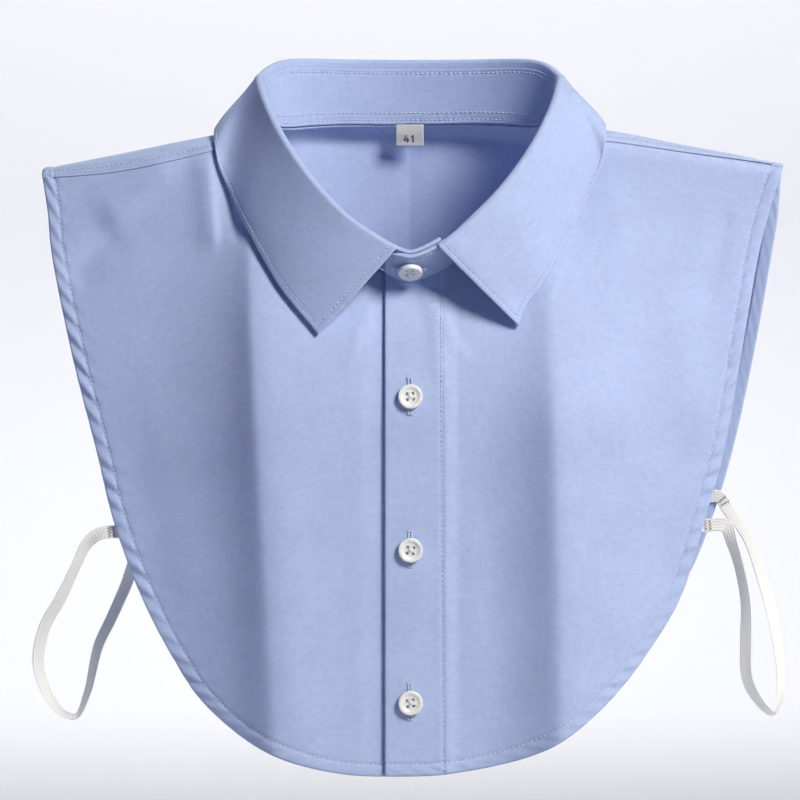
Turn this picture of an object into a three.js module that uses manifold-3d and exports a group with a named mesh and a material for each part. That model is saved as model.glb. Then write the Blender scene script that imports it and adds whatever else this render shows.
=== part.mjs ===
// Dickey: a shirt front with a folded collar, three placket buttons and two elastic side loops.
// Millimetres. +Z is up, the front faces -Y, and the origin is the middle of the neck opening.
// It is shaped as it is worn. A share in a table is of the named size that the table's heading gives.
import * as THREE from 'three';
import { mergeVertices } from 'three/addons/utils/BufferGeometryUtils.js';
import Module from 'manifold-3d';

const wasm = await Module();
wasm.setup();

// The body that the cloth lies on
const HALF_WIDTH = 175; // middle to the shoulder tip
const RIDGE_DEPTH = 2; // the shoulder line, behind the origin
const RIDGE_HEIGHT = 45; // the shoulder line's height, were it to run on to the middle
const FRONT_ROUND = 14; // how far the shoulder rolls over to the front
const BACK_ROUND = 48; // how far it rolls over to the back, at the neck
const ROLL_DROP = 12; // height of that roll at the back
const CHEST_DEPTH = 45; // how far the chest stands out below the shoulder's roll
const CHEST_REACH = 150; // how far down it takes to stand out
const BACK_DEPTH = 12;
const BACK_REACH = 120;

// Neck seam and top of the collar stand, two rings
const RING_POINT = 1.41; // power that brings the front of both rings to a soft point
const NECK_HALF_WIDTH = 67;
const NECK_SIDE_HEIGHT = 37;
const NECK_FRONT_DROP = 74; // from the side of the neck down to the front of it
const NECK_BACK_DEPTH = 38; // behind the shoulder line
const FOLD_HALF_WIDTH = 70;
const FOLD_SIDE_HEIGHT = 58;
const FOLD_BACK_HEIGHT = 67.5;
const FOLD_FRONT_DROP = 83;
const FOLD_FRONT_DEPTH = 56;
const FOLD_BACK_DEPTH = 37;

// Outline
const FRONT_LENGTH = 266.5; // origin down to the hem
const BACK_LENGTH = 250;
const MIDDLE = -5; // the hem's middle, a little to the left

// Cloth and seams
const CLOTH = 1.2;
const HEM_WIDTH = 6;
const HEM_THICKNESS = 2;
const HEM_STEP = 0.5; // over which the cloth grows to the hem's thickness
const SEAM_GAP = 0.6;
const STRAP_SEAT = 0.7; // gap between the elastic and the hem that it is sewn behind
const SEAM_NECK_TURN = 83; // where the shoulder seams leave the neck seam, in degrees from the front
const PLACKET_EDGE = 12; // its open edge, past the origin to the left
const PLACKET_WIDTH = 28;
const PLACKET_THICKNESS = 2;
const UNDERLAP_EDGE = 14; // its open edge, past the origin to the right
const UNDERLAP_WIDTH = 27;
const UNDERLAP_THICKNESS = 1.6;
const LAP_GAP = 0.4; // between the placket and the underlap, and between the stand's two ends
const LAP_EASE = 12; // width over which the underlap sinks behind the placket

// Collar
const STAND_THICKNESS = 2;
const STAND_OUTER_END = 11; // how far the outer end goes past the origin to the left
const STAND_UNDER_END = 14; // how far the hidden end goes past it to the right
const STAND_END_ROUND = 12; // length over which the outer end's top corner is rounded off
const LEAF_THICKNESS = 1.6;
const LEAF_FOLD_RADIUS = 2.4;
const LEAF_RISE = 0.8; // cloth between the top of the stand and the fold
const LEAF_BULGE = 3.5; // how far it rounds out between the fold and the edge
const LEAF_LIFT = 3.6; // from the middle of the cloth below to the middle of the leaf's edge
const LEAF_LEFT_START = 6.6; // where the fold ends, out from the origin
const LEAF_RIGHT_START = 11.8;
const LEAF_SPREAD = 92; // its edge on the shoulder, out from the origin
const LEAF_LEFT_TIP = 42.7;
const LEAF_RIGHT_TIP = 50.4;
const LEAF_TIP_DROP = 60; // origin down to the left tip

// Small pieces
const BUTTON_DIAMETER = 11.4;
const BUTTON_THICKNESS = 2.4;
const BUTTON_RIM = 1.5;
const BUTTON_DISH = 0.7;
const BUTTON_ROUND = 0.5;
const BUTTON_HOLE = 1.5;
const BUTTON_HOLE_PITCH = 2.7;
const BUTTON_SEAT = 0.35; // gap to the cloth
const FIRST_BUTTON_DROP = 91.5; // origin down to it
const BUTTON_PITCH = 70.5;
const BUTTON_ACROSS = -0.3; // a button, past the origin
const LABEL_WIDTH = 13.3;
const LABEL_HEIGHT = 10;
const LABEL_THICKNESS = 0.6;
const STRAP_WIDTH = 6;
const STRAP_THICKNESS = 1;
const STRAP_HOLD = 6; // length sewn behind the hem
const STRAP_DROP = 88; // seam down to the bottom of the loop
const STRAP_REACH = 44.5; // cloth's edge out to the far side of the loop
const LEFT_FRONT_SEAM = 154; // origin down to where a loop is sewn on
const LEFT_BACK_SEAM = 159;
const RIGHT_FRONT_SEAM = 151;
const RIGHT_BACK_SEAM = 139;

// Shoulder line. Across is a share of HALF_WIDTH, left and right of RIDGE_HEIGHT, front of FRONT_ROUND,
// back of BACK_ROUND, drop of ROLL_DROP.
const shoulderRows = [
  { across: 0.0, left: 1.0, right: 1.0, front: 1.0, back: 1.0, drop: 1.0 },
  { across: 0.17, left: 0.985, right: 0.995, front: 1.0, back: 0.92, drop: 1.0 },
  { across: 0.27, left: 0.945, right: 0.96, front: 1.0, back: 0.77, drop: 1.0 },
  { across: 0.34, left: 0.885, right: 0.905, front: 1.0, back: 0.6, drop: 1.0 },
  { across: 0.39, left: 0.835, right: 0.86, front: 1.0, back: 0.51, drop: 1.0 },
  { across: 0.45, left: 0.785, right: 0.825, front: 0.97, back: 0.41, drop: 1.0 },
  { across: 0.52, left: 0.74, right: 0.79, front: 0.93, back: 0.34, drop: 0.98 },
  { across: 0.6, left: 0.68, right: 0.735, front: 0.86, back: 0.28, drop: 0.9 },
  { across: 0.8, left: 0.52, right: 0.575, front: 0.62, back: 0.18, drop: 0.65 },
  { across: 1.05, left: 0.33, right: 0.37, front: 0.36, back: 0.11, drop: 0.42 },
];

// Shoulder tips and the seams that run to them. Tip is a share of HALF_WIDTH. Turn is how far round the
// front roll the seam ends, in degrees, and bow is how far it bows down on the way, a share of FRONT_ROUND.
const seamRows = [
  { side: -1, tip: 0.996, turn: 68, bow: 0.3 },
  { side: 1, tip: 1.012, turn: 14, bow: 0.08 },
];

// Sides and hems from the tips to the middle. Down is a share of the panel's length, the rest of HALF_WIDTH.
// The back hangs a little to the right, so it shows past the front's edge there.
const outlineRows = [
  { down: 0.015, leftFront: 0.981, rightFront: 0.972, leftBack: 0.97, rightBack: 1.004 },
  { down: 0.081, leftFront: 0.971, rightFront: 0.946, leftBack: 0.948, rightBack: 0.99 },
  { down: 0.259, leftFront: 0.913, rightFront: 0.894, leftBack: 0.89, rightBack: 0.948 },
  { down: 0.436, leftFront: 0.841, rightFront: 0.842, leftBack: 0.818, rightBack: 0.896 },
  { down: 0.559, leftFront: 0.794, rightFront: 0.789, leftBack: 0.771, rightBack: 0.847 },
  { down: 0.698, leftFront: 0.714, rightFront: 0.719, leftBack: 0.691, rightBack: 0.772 },
  { down: 0.8, leftFront: 0.631, rightFront: 0.62, leftBack: 0.608, rightBack: 0.678 },
  { down: 0.87, leftFront: 0.558, rightFront: 0.53, leftBack: 0.535, rightBack: 0.575 },
  { down: 0.937, leftFront: 0.437, rightFront: 0.406, leftBack: 0.414, rightBack: 0.43 },
  { down: 0.971, leftFront: 0.33, rightFront: 0.295, leftBack: 0.307, rightBack: 0.31 },
  { down: 0.996, leftFront: 0.17, rightFront: 0.11, leftBack: 0.147, rightBack: 0.115 },
];

// Edge of the collar leaf by degrees from the front. Across is a share of LEAF_SPREAD. Height on the front
// is a share of FOLD_SIDE_HEIGHT, and run on the back is a share of BACK_ROUND.
const leafFrontRows = [
  { turn: 30, across: 0.58, height: -0.81 },
  { turn: 42, across: 0.665, height: -0.63 },
  { turn: 54, across: 0.748, height: -0.4 },
  { turn: 66, across: 0.832, height: -0.14 },
  { turn: 78, across: 0.918, height: 0.17 },
  { turn: 88, across: 0.985, height: 0.41 },
];
const leafBackRows = [
  { turn: 98, across: 1.0, run: 0.0 },
  { turn: 112, across: 0.965, run: 0.33 },
  { turn: 130, across: 0.82, run: 0.66 },
  { turn: 155, across: 0.44, run: 0.99 },
  { turn: 180, across: 0.0, run: 1.12 },
];

// Folds that run down the cloth. Top and hem are where the crest lies, width and height its size, all
// shares of HALF_WIDTH. It grows between two shares of the panel's length.
const frontFoldRows = [
  { top: -0.43, hem: -0.345, width: 0.085, height: 0.036, from: -0.02, full: 0.4 },
  { top: 0.36, hem: 0.415, width: 0.08, height: 0.034, from: 0.1, full: 0.55 },
  { top: -0.7, hem: -0.62, width: 0.09, height: -0.012, from: 0.05, full: 0.5 },
  { top: 0.68, hem: 0.66, width: 0.1, height: -0.014, from: 0.05, full: 0.5 },
  { top: -0.16, hem: -0.18, width: 0.1, height: -0.01, from: 0.25, full: 0.8 },
  { top: 0.2, hem: 0.22, width: 0.09, height: -0.012, from: 0.25, full: 0.8 },
];
const backFoldRows = [
  { top: -0.3, hem: -0.4, width: 0.11, height: 0.024, from: 0.1, full: 0.8 },
  { top: 0.28, hem: 0.36, width: 0.11, height: 0.026, from: 0.1, full: 0.8 },
  { top: 0.0, hem: 0.02, width: 0.13, height: -0.016, from: 0.2, full: 0.9 },
];

// Elastic loops from the front edge to the back edge. Out is a share of STRAP_REACH, down of STRAP_DROP and
// deep of the way from front to back. Turn is how far the strap's width turns from +Y, in degrees.
const leftStrapRows = [
  { out: 0.2, deep: 0.01, down: 0.01, turn: 88 },
  { out: 0.34, deep: 0.04, down: 0.06, turn: 62 },
  { out: 0.48, deep: 0.1, down: 0.18, turn: 48 },
  { out: 0.66, deep: 0.2, down: 0.34, turn: 58 },
  { out: 0.88, deep: 0.32, down: 0.51, turn: 66 },
  { out: 0.97, deep: 0.42, down: 0.7, turn: 60 },
  { out: 0.88, deep: 0.5, down: 0.87, turn: 42 },
  { out: 0.74, deep: 0.56, down: 0.96, turn: 26 },
  { out: 0.62, deep: 0.61, down: 0.97, turn: 22 },
  { out: 0.53, deep: 0.68, down: 0.85, turn: 34 },
  { out: 0.44, deep: 0.78, down: 0.59, turn: 52 },
  { out: 0.32, deep: 0.88, down: 0.43, turn: 60 },
  { out: 0.18, deep: 0.96, down: 0.24, turn: 70 },
  { out: 0.09, deep: 1.0, down: 0.09, turn: 84 },
];
const rightStrapRows = [
  { out: 0.251, deep: 0.0, down: 0.0, turn: 92 },
  { out: 0.311, deep: 0.03, down: 0.09, turn: 120 },
  { out: 0.386, deep: 0.08, down: 0.24, turn: 132 },
  { out: 0.44, deep: 0.16, down: 0.45, turn: 126 },
  { out: 0.422, deep: 0.25, down: 0.66, turn: 118 },
  { out: 0.42, deep: 0.35, down: 0.87, turn: 122 },
  { out: 0.515, deep: 0.43, down: 1.0, turn: 134 },
  { out: 0.656, deep: 0.52, down: 1.09, turn: 152 },
  { out: 0.724, deep: 0.59, down: 1.04, turn: 148 },
  { out: 0.725, deep: 0.68, down: 0.92, turn: 130 },
  { out: 0.644, deep: 0.78, down: 0.68, turn: 118 },
  { out: 0.508, deep: 0.86, down: 0.45, turn: 114 },
  { out: 0.316, deep: 0.93, down: 0.2, turn: 110 },
  { out: 0.12, deep: 0.98, down: 0.08, turn: 100 },
];

// Steps of the grids
const FRONT_COLUMNS = 17;
const STRIP_COLUMNS = 6;
const PANEL_ROWS = 15;
const BACK_COLUMNS = 34;
const STAND_ROWS = 3;
const LEAF_COLUMNS = 56;
const STAND_END_COLUMNS = 4;
const FOLD_STEPS = 4;
const FALL_STEPS = 5;
const STRAP_STEPS = 44;
const BUTTON_SIDES = 20;

const smooth = (t) => {
  const c = Math.min(Math.max(t, 0), 1);
  return c * c * (3 - 2 * c);
};
const mix = (a, b, t) => a + (b - a) * t;
const radians = (degrees) => (degrees * Math.PI) / 180;
const signedPower = (value, power) => Math.sign(value) * Math.abs(value) ** power;
const sideName = (side) => (side < 0 ? 'left' : 'right');
const seamOf = (side) => seamRows.find((row) => row.side === side);

// Smooth reading of one column of a table along another
function read(rows, along, column, at) {
  const last = rows.length - 1;
  let i = 0;
  while (i < last - 1 && at > rows[i + 1][along]) i += 1;
  const slope = (k) => {
    const a = rows[Math.max(k - 1, 0)];
    const b = rows[Math.min(k + 1, last)];
    return (b[column] - a[column]) / (b[along] - a[along]);
  };
  const span = rows[i + 1][along] - rows[i][along];
  const rise = rows[i + 1][column] - rows[i][column];
  const t = Math.min(Math.max((at - rows[i][along]) / span, 0), 1);
  const bend = (slope(i) * span - rise) * (1 - t) - (slope(i + 1) * span - rise) * t;
  return rows[i][column] + rise * t + t * (1 - t) * bend;
}

// Sizes of the shoulder line at a place across
function shoulder(x, isFront) {
  const across = Math.min(Math.abs(x) / HALF_WIDTH, 1.05);
  const height = RIDGE_HEIGHT * read(shoulderRows, 'across', sideName(x), across);
  const front = FRONT_ROUND * read(shoulderRows, 'across', 'front', across);
  const back = BACK_ROUND * read(shoulderRows, 'across', 'back', across);
  const deep = isFront ? front : back;
  const drop = isFront ? front : ROLL_DROP * read(shoulderRows, 'across', 'drop', across);
  return { height, deep, drop, roll: (Math.PI / 4) * (deep + drop) };
}

// How far the folds stand out at a place on the cloth
function folds(rows, x, share) {
  let out = 0;
  for (const row of rows) {
    const away = (x / HALF_WIDTH - mix(row.top, row.hem, share)) / row.width;
    const grown = smooth((share - row.from) / (row.full - row.from));
    out += HALF_WIDTH * row.height * grown * Math.exp(-away * away);
  }
  return out;
}

// The cloth's middle surface. Run is the distance down from the shoulder line, below 0 on the front.
function skin({ x, run }) {
  const isFront = run < 0;
  const at = shoulder(x, isFront);
  const far = Math.abs(run);
  const angle = (Math.min(far / at.roll, 1) * Math.PI) / 2;
  const below = at.drop * (1 - Math.cos(angle)) + Math.max(far - at.roll, 0);
  const z = at.height - below;
  const narrowing = 1 - Math.min(Math.abs(x) / (1.06 * HALF_WIDTH), 1) ** 2;
  const body = isFront
    ? CHEST_DEPTH * narrowing * smooth(below / CHEST_REACH) + folds(frontFoldRows, x, -z / FRONT_LENGTH)
    : BACK_DEPTH * smooth(below / BACK_REACH) + folds(backFoldRows, x, -z / BACK_LENGTH);
  const out = at.deep * Math.sin(angle) + body;
  return new THREE.Vector3(x, RIDGE_DEPTH + (isFront ? -out : out), z);
}

// The run of a place at a height
function runAt(x, z, isFront) {
  const at = shoulder(x, isFront);
  const below = Math.max(at.height - z, 0);
  const turned = Math.acos(1 - Math.min(below / at.drop, 1)) / (Math.PI / 2);
  const run = at.roll * turned + Math.max(below - at.drop, 0);
  return isFront ? -run : run;
}

// Outward direction of that surface
function skinNormal({ x, run }) {
  const step = 0.5;
  const across = skin({ x: x + step, run }).sub(skin({ x: x - step, run }));
  const along = skin({ x, run: run + step }).sub(skin({ x, run: run - step }));
  return across.cross(along).normalize();
}
const raised = (at, lift) => skin(at).addScaledVector(skinNormal(at), lift);

// Neck seam by the angle round from the back. It goes on past half a turn where the ends overlap.
function neckPlace(angle) {
  const side = Math.sin(angle);
  const toBack = Math.cos(angle);
  if (toBack < 0) {
    const x = NECK_HALF_WIDTH * signedPower(side, RING_POINT);
    const z = NECK_SIDE_HEIGHT - NECK_FRONT_DROP * (-toBack) ** RING_POINT;
    return { x, run: runAt(x, z, true) };
  }
  const x = NECK_HALF_WIDTH * side;
  const at = shoulder(x, false);
  const turned = Math.asin(Math.min((NECK_BACK_DEPTH * toBack) / at.deep, 1)) / (Math.PI / 2);
  return { x, run: at.roll * turned };
}
const neckPoint = (angle) => skin(neckPlace(angle));

// Top of the collar stand by the same angle
function foldPoint(angle) {
  const side = Math.sin(angle);
  const toBack = Math.cos(angle);
  if (toBack < 0) {
    const across = signedPower(side, RING_POINT);
    const y = -FOLD_FRONT_DEPTH * Math.sqrt(1 - across * across);
    const z = FOLD_SIDE_HEIGHT - FOLD_FRONT_DROP * (-toBack) ** RING_POINT;
    return new THREE.Vector3(FOLD_HALF_WIDTH * across, y, z);
  }
  const z = mix(FOLD_BACK_HEIGHT, FOLD_SIDE_HEIGHT, Math.abs(side) ** 12);
  return new THREE.Vector3(FOLD_HALF_WIDTH * side, FOLD_BACK_DEPTH * toBack, z);
}

// The angle at which the front of a ring is so far to one side of the origin
function frontAngle(halfWidth, x) {
  const turn = Math.PI - Math.asin((Math.abs(x) / halfWidth) ** (1 / RING_POINT));
  return x < 0 ? -turn : turn;
}

// Params that cut a curve into even lengths
function evenParams(point, from, to, count) {
  const fine = 40 * count;
  const params = Array.from({ length: fine + 1 }, (_, i) => mix(from, to, i / fine));
  const points = params.map(point);
  const lengths = [0];
  for (let i = 1; i <= fine; i += 1) lengths.push(lengths[i - 1] + points[i].distanceTo(points[i - 1]));
  let k = 0;
  return Array.from({ length: count + 1 }, (_, i) => {
    const goal = (lengths[fine] * i) / count;
    while (k < fine - 1 && lengths[k + 1] < goal) k += 1;
    const share = (goal - lengths[k]) / (lengths[k + 1] - lengths[k]);
    return mix(params[k], params[k + 1], Math.min(share, 1));
  });
}

// A closed sheet of cloth round a grid of middle points, with a thickness and a lift at each of them
function sheet(middle, thickness, lift = () => 0, normals = null) {
  const rows = middle.length;
  const columns = middle[0].length;
  const outer = [];
  const inner = [];
  for (let r = 0; r < rows; r += 1) {
    for (let c = 0; c < columns; c += 1) {
      const across = middle[r][Math.min(c + 1, columns - 1)].clone().sub(middle[r][Math.max(c - 1, 0)]);
      const down = middle[Math.min(r + 1, rows - 1)][c].clone().sub(middle[Math.max(r - 1, 0)][c]);
      const normal = normals ? normals[r][c] : down.cross(across).normalize();
      const half = thickness(r, c) / 2;
      outer.push(middle[r][c].clone().addScaledVector(normal, lift(r, c) + half));
      inner.push(middle[r][c].clone().addScaledVector(normal, lift(r, c) - half));
    }
  }
  const count = rows * columns;
  const triangles = [];
  const quad = (a, b, c, d) => triangles.push(a, b, c, a, c, d);
  for (let r = 0; r < rows - 1; r += 1) {
    for (let c = 0; c < columns - 1; c += 1) {
      const a = r * columns + c;
      quad(a, a + columns, a + columns + 1, a + 1);
      quad(count + a, count + a + 1, count + a + columns + 1, count + a + columns);
    }
    const first = r * columns;
    const last = first + columns - 1;
    quad(first, count + first, count + first + columns, first + columns);
    quad(last, last + columns, count + last + columns, count + last);
  }
  for (let c = 0; c < columns - 1; c += 1) {
    const below = (rows - 1) * columns + c;
    quad(c, c + 1, count + c + 1, count + c);
    quad(below, count + below, count + below + 1, below + 1);
  }
  const geometry = new THREE.BufferGeometry();
  const numbers = [...outer, ...inner].flatMap((point) => point.toArray());
  geometry.setAttribute('position', new THREE.Float32BufferAttribute(numbers, 3));
  geometry.setIndex(triangles);
  geometry.computeVertexNormals();
  return geometry;
}

// The shoulder seam's place on one side: 0 at the neck, 1 at the tip, moved down the front by a distance
function seamPlace(side, share, down) {
  const seam = seamOf(side);
  const start = neckPlace(side * radians(180 - SEAM_NECK_TURN));
  const tipX = side * HALF_WIDTH * seam.tip;
  const tipRun = -shoulder(tipX, true).roll * (seam.turn / 90);
  const bow = FRONT_ROUND * seam.bow * Math.sin(Math.PI * share);
  return { x: mix(start.x, tipX, share), run: mix(start.run, tipRun, share) - bow - down };
}

// Side edge and hem of a panel on one side, as points on the flat front view, from the tip to the middle
function outlineCurve(side, isFront) {
  const length = isFront ? FRONT_LENGTH : BACK_LENGTH;
  const column = `${sideName(side)}${isFront ? 'Front' : 'Back'}`;
  const points = outlineRows.map((row) => {
    return new THREE.Vector3(side * HALF_WIDTH * row[column], 0, -length * row.down);
  });
  const tip = skin(seamPlace(side, 1, 0));
  points.unshift(new THREE.Vector3(tip.x, 0, tip.z));
  const lowest = points[points.length - 1];
  points.push(new THREE.Vector3(MIDDLE, 0, -length));
  points.push(new THREE.Vector3(2 * MIDDLE - lowest.x, 0, lowest.z));
  return new THREE.CatmullRomCurve3(points, false, 'centripetal').getPoints(600);
}

// The outline's height at a place across
function hemHeight(points, x) {
  const side = Math.sign(points[0].x);
  const i = points.findIndex((point) => side * (point.x - x) < 0);
  const share = (x - points[i - 1].x) / (points[i].x - points[i - 1].x);
  return mix(points[i - 1].z, points[i].z, share);
}

// The outline cut evenly into places, from a line down the front out to the tip
function outlinePlaces(side, isFront, fromX, count) {
  const dense = outlineCurve(side, isFront);
  const kept = dense.filter((point) => side * (point.x - fromX) > 0).reverse();
  kept.unshift(new THREE.Vector3(fromX, 0, hemHeight(dense, fromX)));
  const at = (t) => {
    const i = Math.min(Math.floor(t * (kept.length - 1)), kept.length - 2);
    return kept[i].clone().lerp(kept[i + 1], t * (kept.length - 1) - i);
  };
  const points = evenParams(at, 0, 1, count).map(at);
  return points.map((point) => ({ x: point.x, run: runAt(point.x, point.z, isFront) }));
}

// Rows of places between the neck and the outline, ending in the hem's own rows
function rayGrid(tops, bottoms, rows, bows) {
  const last = bottoms.length - 1;
  const hemShares = bottoms.map((bottom, c) => {
    const ray = new THREE.Vector2(bottom.x - tops[c].x, bottom.run - tops[c].run);
    if (c === 0 || c === last) return 1 / ray.length();
    const edge = new THREE.Vector2(bottoms[c + 1].x - bottoms[c - 1].x, bottoms[c + 1].run - bottoms[c - 1].run);
    return 1 / Math.max(Math.abs(ray.cross(edge.normalize())), 2 * HEM_WIDTH);
  });
  const shares = (c) => {
    const start = 1 - (HEM_WIDTH + HEM_STEP) * hemShares[c];
    const plain = Array.from({ length: rows + 1 }, (_, r) => (start * r) / rows);
    return [...plain, 1 - HEM_WIDTH * hemShares[c], 1];
  };
  const columns = tops.map((top, c) => {
    return shares(c).map((v) => ({
      x: mix(top.x, bottoms[c].x, v),
      run: mix(top.run, bottoms[c].run, v) - bows(c) * Math.sin(Math.PI * v),
    }));
  });
  return columns[0].map((_, r) => columns.map((column) => column[r]));
}

// One front panel. A doubled strip runs down its open edge.
function frontPanel(side, openX, stripX, stripThickness, stripLift, sunk) {
  const bow = FRONT_ROUND * seamOf(side).bow;
  const outline = outlineCurve(side, true);
  const stripXs = Array.from({ length: STRIP_COLUMNS + 1 }, (_, i) => mix(openX, stripX, i / STRIP_COLUMNS));
  const mainX = stripX + side * HEM_STEP;
  const seamTurn = side * radians(180 - SEAM_NECK_TURN);
  const angles = evenParams(neckPoint, frontAngle(NECK_HALF_WIDTH, mainX), seamTurn, FRONT_COLUMNS);
  const stripTops = stripXs.map((x) => neckPlace(frontAngle(NECK_HALF_WIDTH, x)));
  const stripBottoms = stripXs.map((x) => ({ x, run: runAt(x, hemHeight(outline, x), true) }));
  const tops = [...stripTops, ...angles.map(neckPlace)];
  const bottoms = [...stripBottoms, ...outlinePlaces(side, true, mainX, FRONT_COLUMNS)];
  tops[tops.length - 1] = seamPlace(side, 0, SEAM_GAP / 2);
  bottoms[bottoms.length - 1] = seamPlace(side, 1, SEAM_GAP / 2);
  const columns = tops.length;
  const grid = rayGrid(tops, bottoms, PANEL_ROWS, (c) => bow * (c / (columns - 1)) ** 8);
  const isStrip = (c) => c <= STRIP_COLUMNS;
  const thickness = (r, c) => {
    if (isStrip(c)) return stripThickness;
    return r > PANEL_ROWS ? HEM_THICKNESS : CLOTH;
  };
  const lift = (r, c) => {
    if (isStrip(c)) return stripLift;
    return sunk ? stripLift * (1 - smooth(Math.abs(grid[r][c].x - mainX) / LAP_EASE)) : 0;
  };
  // Seen from outside, columns run to the right
  const column = (c) => (side < 0 ? columns - 1 - c : c);
  const places = grid.map((row) => row.map((_, c) => row[column(c)]));
  return sheet(
    places.map((row) => row.map(skin)),
    (r, c) => thickness(r, column(c)),
    (r, c) => lift(r, column(c)),
    places.map((row) => row.map(skinNormal)),
  );
}

const placketLift = (PLACKET_THICKNESS - CLOTH) / 2 + 0.5;
const placketInner = placketLift - PLACKET_THICKNESS / 2;
const underlapLift = placketInner - LAP_GAP - UNDERLAP_THICKNESS / 2;

function placketPanel() {
  const strip = PLACKET_WIDTH - PLACKET_EDGE;
  return frontPanel(1, -PLACKET_EDGE, strip, PLACKET_THICKNESS, placketLift, false);
}

function underlapPanel() {
  const strip = UNDERLAP_EDGE - UNDERLAP_WIDTH;
  return frontPanel(-1, UNDERLAP_EDGE, strip, UNDERLAP_THICKNESS, underlapLift, true);
}

// The back panel, over the shoulders to the seams on the front
function backPanel() {
  const seamTurn = radians(180 - SEAM_NECK_TURN);
  const angles = evenParams(neckPoint, seamTurn, -seamTurn, BACK_COLUMNS);
  const tops = angles.map(neckPlace);
  const half = BACK_COLUMNS / 2;
  const edgePlaces = (side) => {
    const tip = seamPlace(side, 1, -SEAM_GAP / 2);
    const fromRidge = outlinePlaces(side, false, MIDDLE, 200).reverse();
    const turned = Array.from({ length: 12 }, (_, i) => ({
      x: mix(tip.x, fromRidge[0].x, i / 12),
      run: mix(tip.run, fromRidge[0].run, i / 12),
    }));
    const list = [...turned, ...fromRidge];
    const at = (t) => {
      const i = Math.min(Math.floor(t), list.length - 2);
      const share = t - i;
      return { x: mix(list[i].x, list[i + 1].x, share), run: mix(list[i].run, list[i + 1].run, share) };
    };
    const flat = (t) => new THREE.Vector3(at(t).x, at(t).run, 0);
    const even = evenParams(flat, 0, list.length - 1, 300);
    return Array.from({ length: half + 1 }, (_, i) => at(even[Math.round(300 * (i / half) ** 1.5)]));
  };
  const bottoms = [...edgePlaces(1), ...edgePlaces(-1).reverse().slice(1)];
  tops[0] = seamPlace(1, 0, -SEAM_GAP / 2);
  tops[BACK_COLUMNS] = seamPlace(-1, 0, -SEAM_GAP / 2);
  const bows = (c) => {
    const right = FRONT_ROUND * seamOf(1).bow * (1 - c / BACK_COLUMNS) ** 16;
    return right + FRONT_ROUND * seamOf(-1).bow * (c / BACK_COLUMNS) ** 16;
  };
  const grid = rayGrid(tops, bottoms, PANEL_ROWS, bows);
  return sheet(
    grid.map((row) => row.map(skin)),
    (r) => (r > PANEL_ROWS ? HEM_THICKNESS : CLOTH),
    () => 0,
    grid.map((row) => row.map(skinNormal)),
  );
}

// Directions of the collar stand at an angle: up its height, and out of it
function standFrame(angle) {
  const step = 0.01;
  const up = foldPoint(angle).sub(neckPoint(angle)).normalize();
  const along = foldPoint(angle + step).sub(foldPoint(angle - step));
  const out = up.clone().cross(along).normalize();
  return { up, out };
}

// Which layer the stand is at an angle: 1 on the outer end, -1 on the hidden end, 0 where it is alone
function standLayer(angle) {
  const outer = frontAngle(NECK_HALF_WIDTH, -STAND_OUTER_END) + 2 * Math.PI;
  const lapFrom = Math.abs(frontAngle(NECK_HALF_WIDTH, STAND_UNDER_END + 1));
  const ease = radians(14);
  const grown = smooth((Math.abs(angle) - lapFrom + ease) / ease);
  return Math.abs(angle) > outer ? Math.sign(angle) : Math.sign(angle) * grown;
}
const layerLift = (STAND_THICKNESS + LAP_GAP) / 2;

// The columns that the collar leaf and the stand share, from its left end round the back to its right end
function leafAngles() {
  const left = frontAngle(FOLD_HALF_WIDTH, -LEAF_LEFT_START);
  const right = frontAngle(FOLD_HALF_WIDTH, LEAF_RIGHT_START);
  return evenParams(leafEdge, left, right, LEAF_COLUMNS);
}

// Height at which the stand starts, so that it clears the face of the panel below it
function standStart(angle) {
  const { up, out } = standFrame(angle);
  const normal = skinNormal(neckPlace(angle));
  const layer = standLayer(angle);
  const lapped = layer > 0 ? placketLift + PLACKET_THICKNESS / 2 : underlapLift + UNDERLAP_THICKNESS / 2;
  const face = mix(CLOTH / 2, lapped, Math.abs(layer));
  const tilt = out.dot(normal);
  const clear = face + SEAM_GAP - layerLift * layer * tilt + (Math.abs(tilt) * STAND_THICKNESS) / 2;
  return (Math.max(clear, SEAM_GAP) + Math.abs(layer) * LAP_GAP) / up.dot(normal);
}

// The collar stand: an upright band, both ends of which go on past the middle of the front
function collarStand() {
  const underAngle = frontAngle(NECK_HALF_WIDTH, STAND_UNDER_END) - 2 * Math.PI;
  const outerAngle = frontAngle(NECK_HALF_WIDTH, -STAND_OUTER_END) + 2 * Math.PI;
  const shared = leafAngles();
  const under = evenParams(neckPoint, underAngle, shared[0], STAND_END_COLUMNS).slice(0, -1);
  const outer = evenParams(neckPoint, shared[LEAF_COLUMNS], outerAngle, 2 * STAND_END_COLUMNS).slice(1);
  const angles = [...under, ...shared, ...outer];
  const height = (angle) => foldPoint(angle).distanceTo(neckPoint(angle));
  const topShare = (angle) => {
    const left = neckPoint(angle).distanceTo(neckPoint(outerAngle));
    if (angle < Math.PI / 2 || left > STAND_END_ROUND) return 1;
    return 0.45 + 0.55 * Math.sqrt(1 - (1 - left / STAND_END_ROUND) ** 2);
  };
  const middle = [];
  for (let r = 0; r <= STAND_ROWS; r += 1) {
    middle.push(
      angles.map((angle) => {
        const start = standStart(angle) / height(angle);
        return neckPoint(angle).lerp(foldPoint(angle), mix(start, topShare(angle), r / STAND_ROWS));
      }),
    );
  }
  return sheet(
    middle.reverse().map((row) => [...row].reverse()),
    () => STAND_THICKNESS,
    (r, c) => layerLift * standLayer(angles[angles.length - 1 - c]),
  );
}

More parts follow.
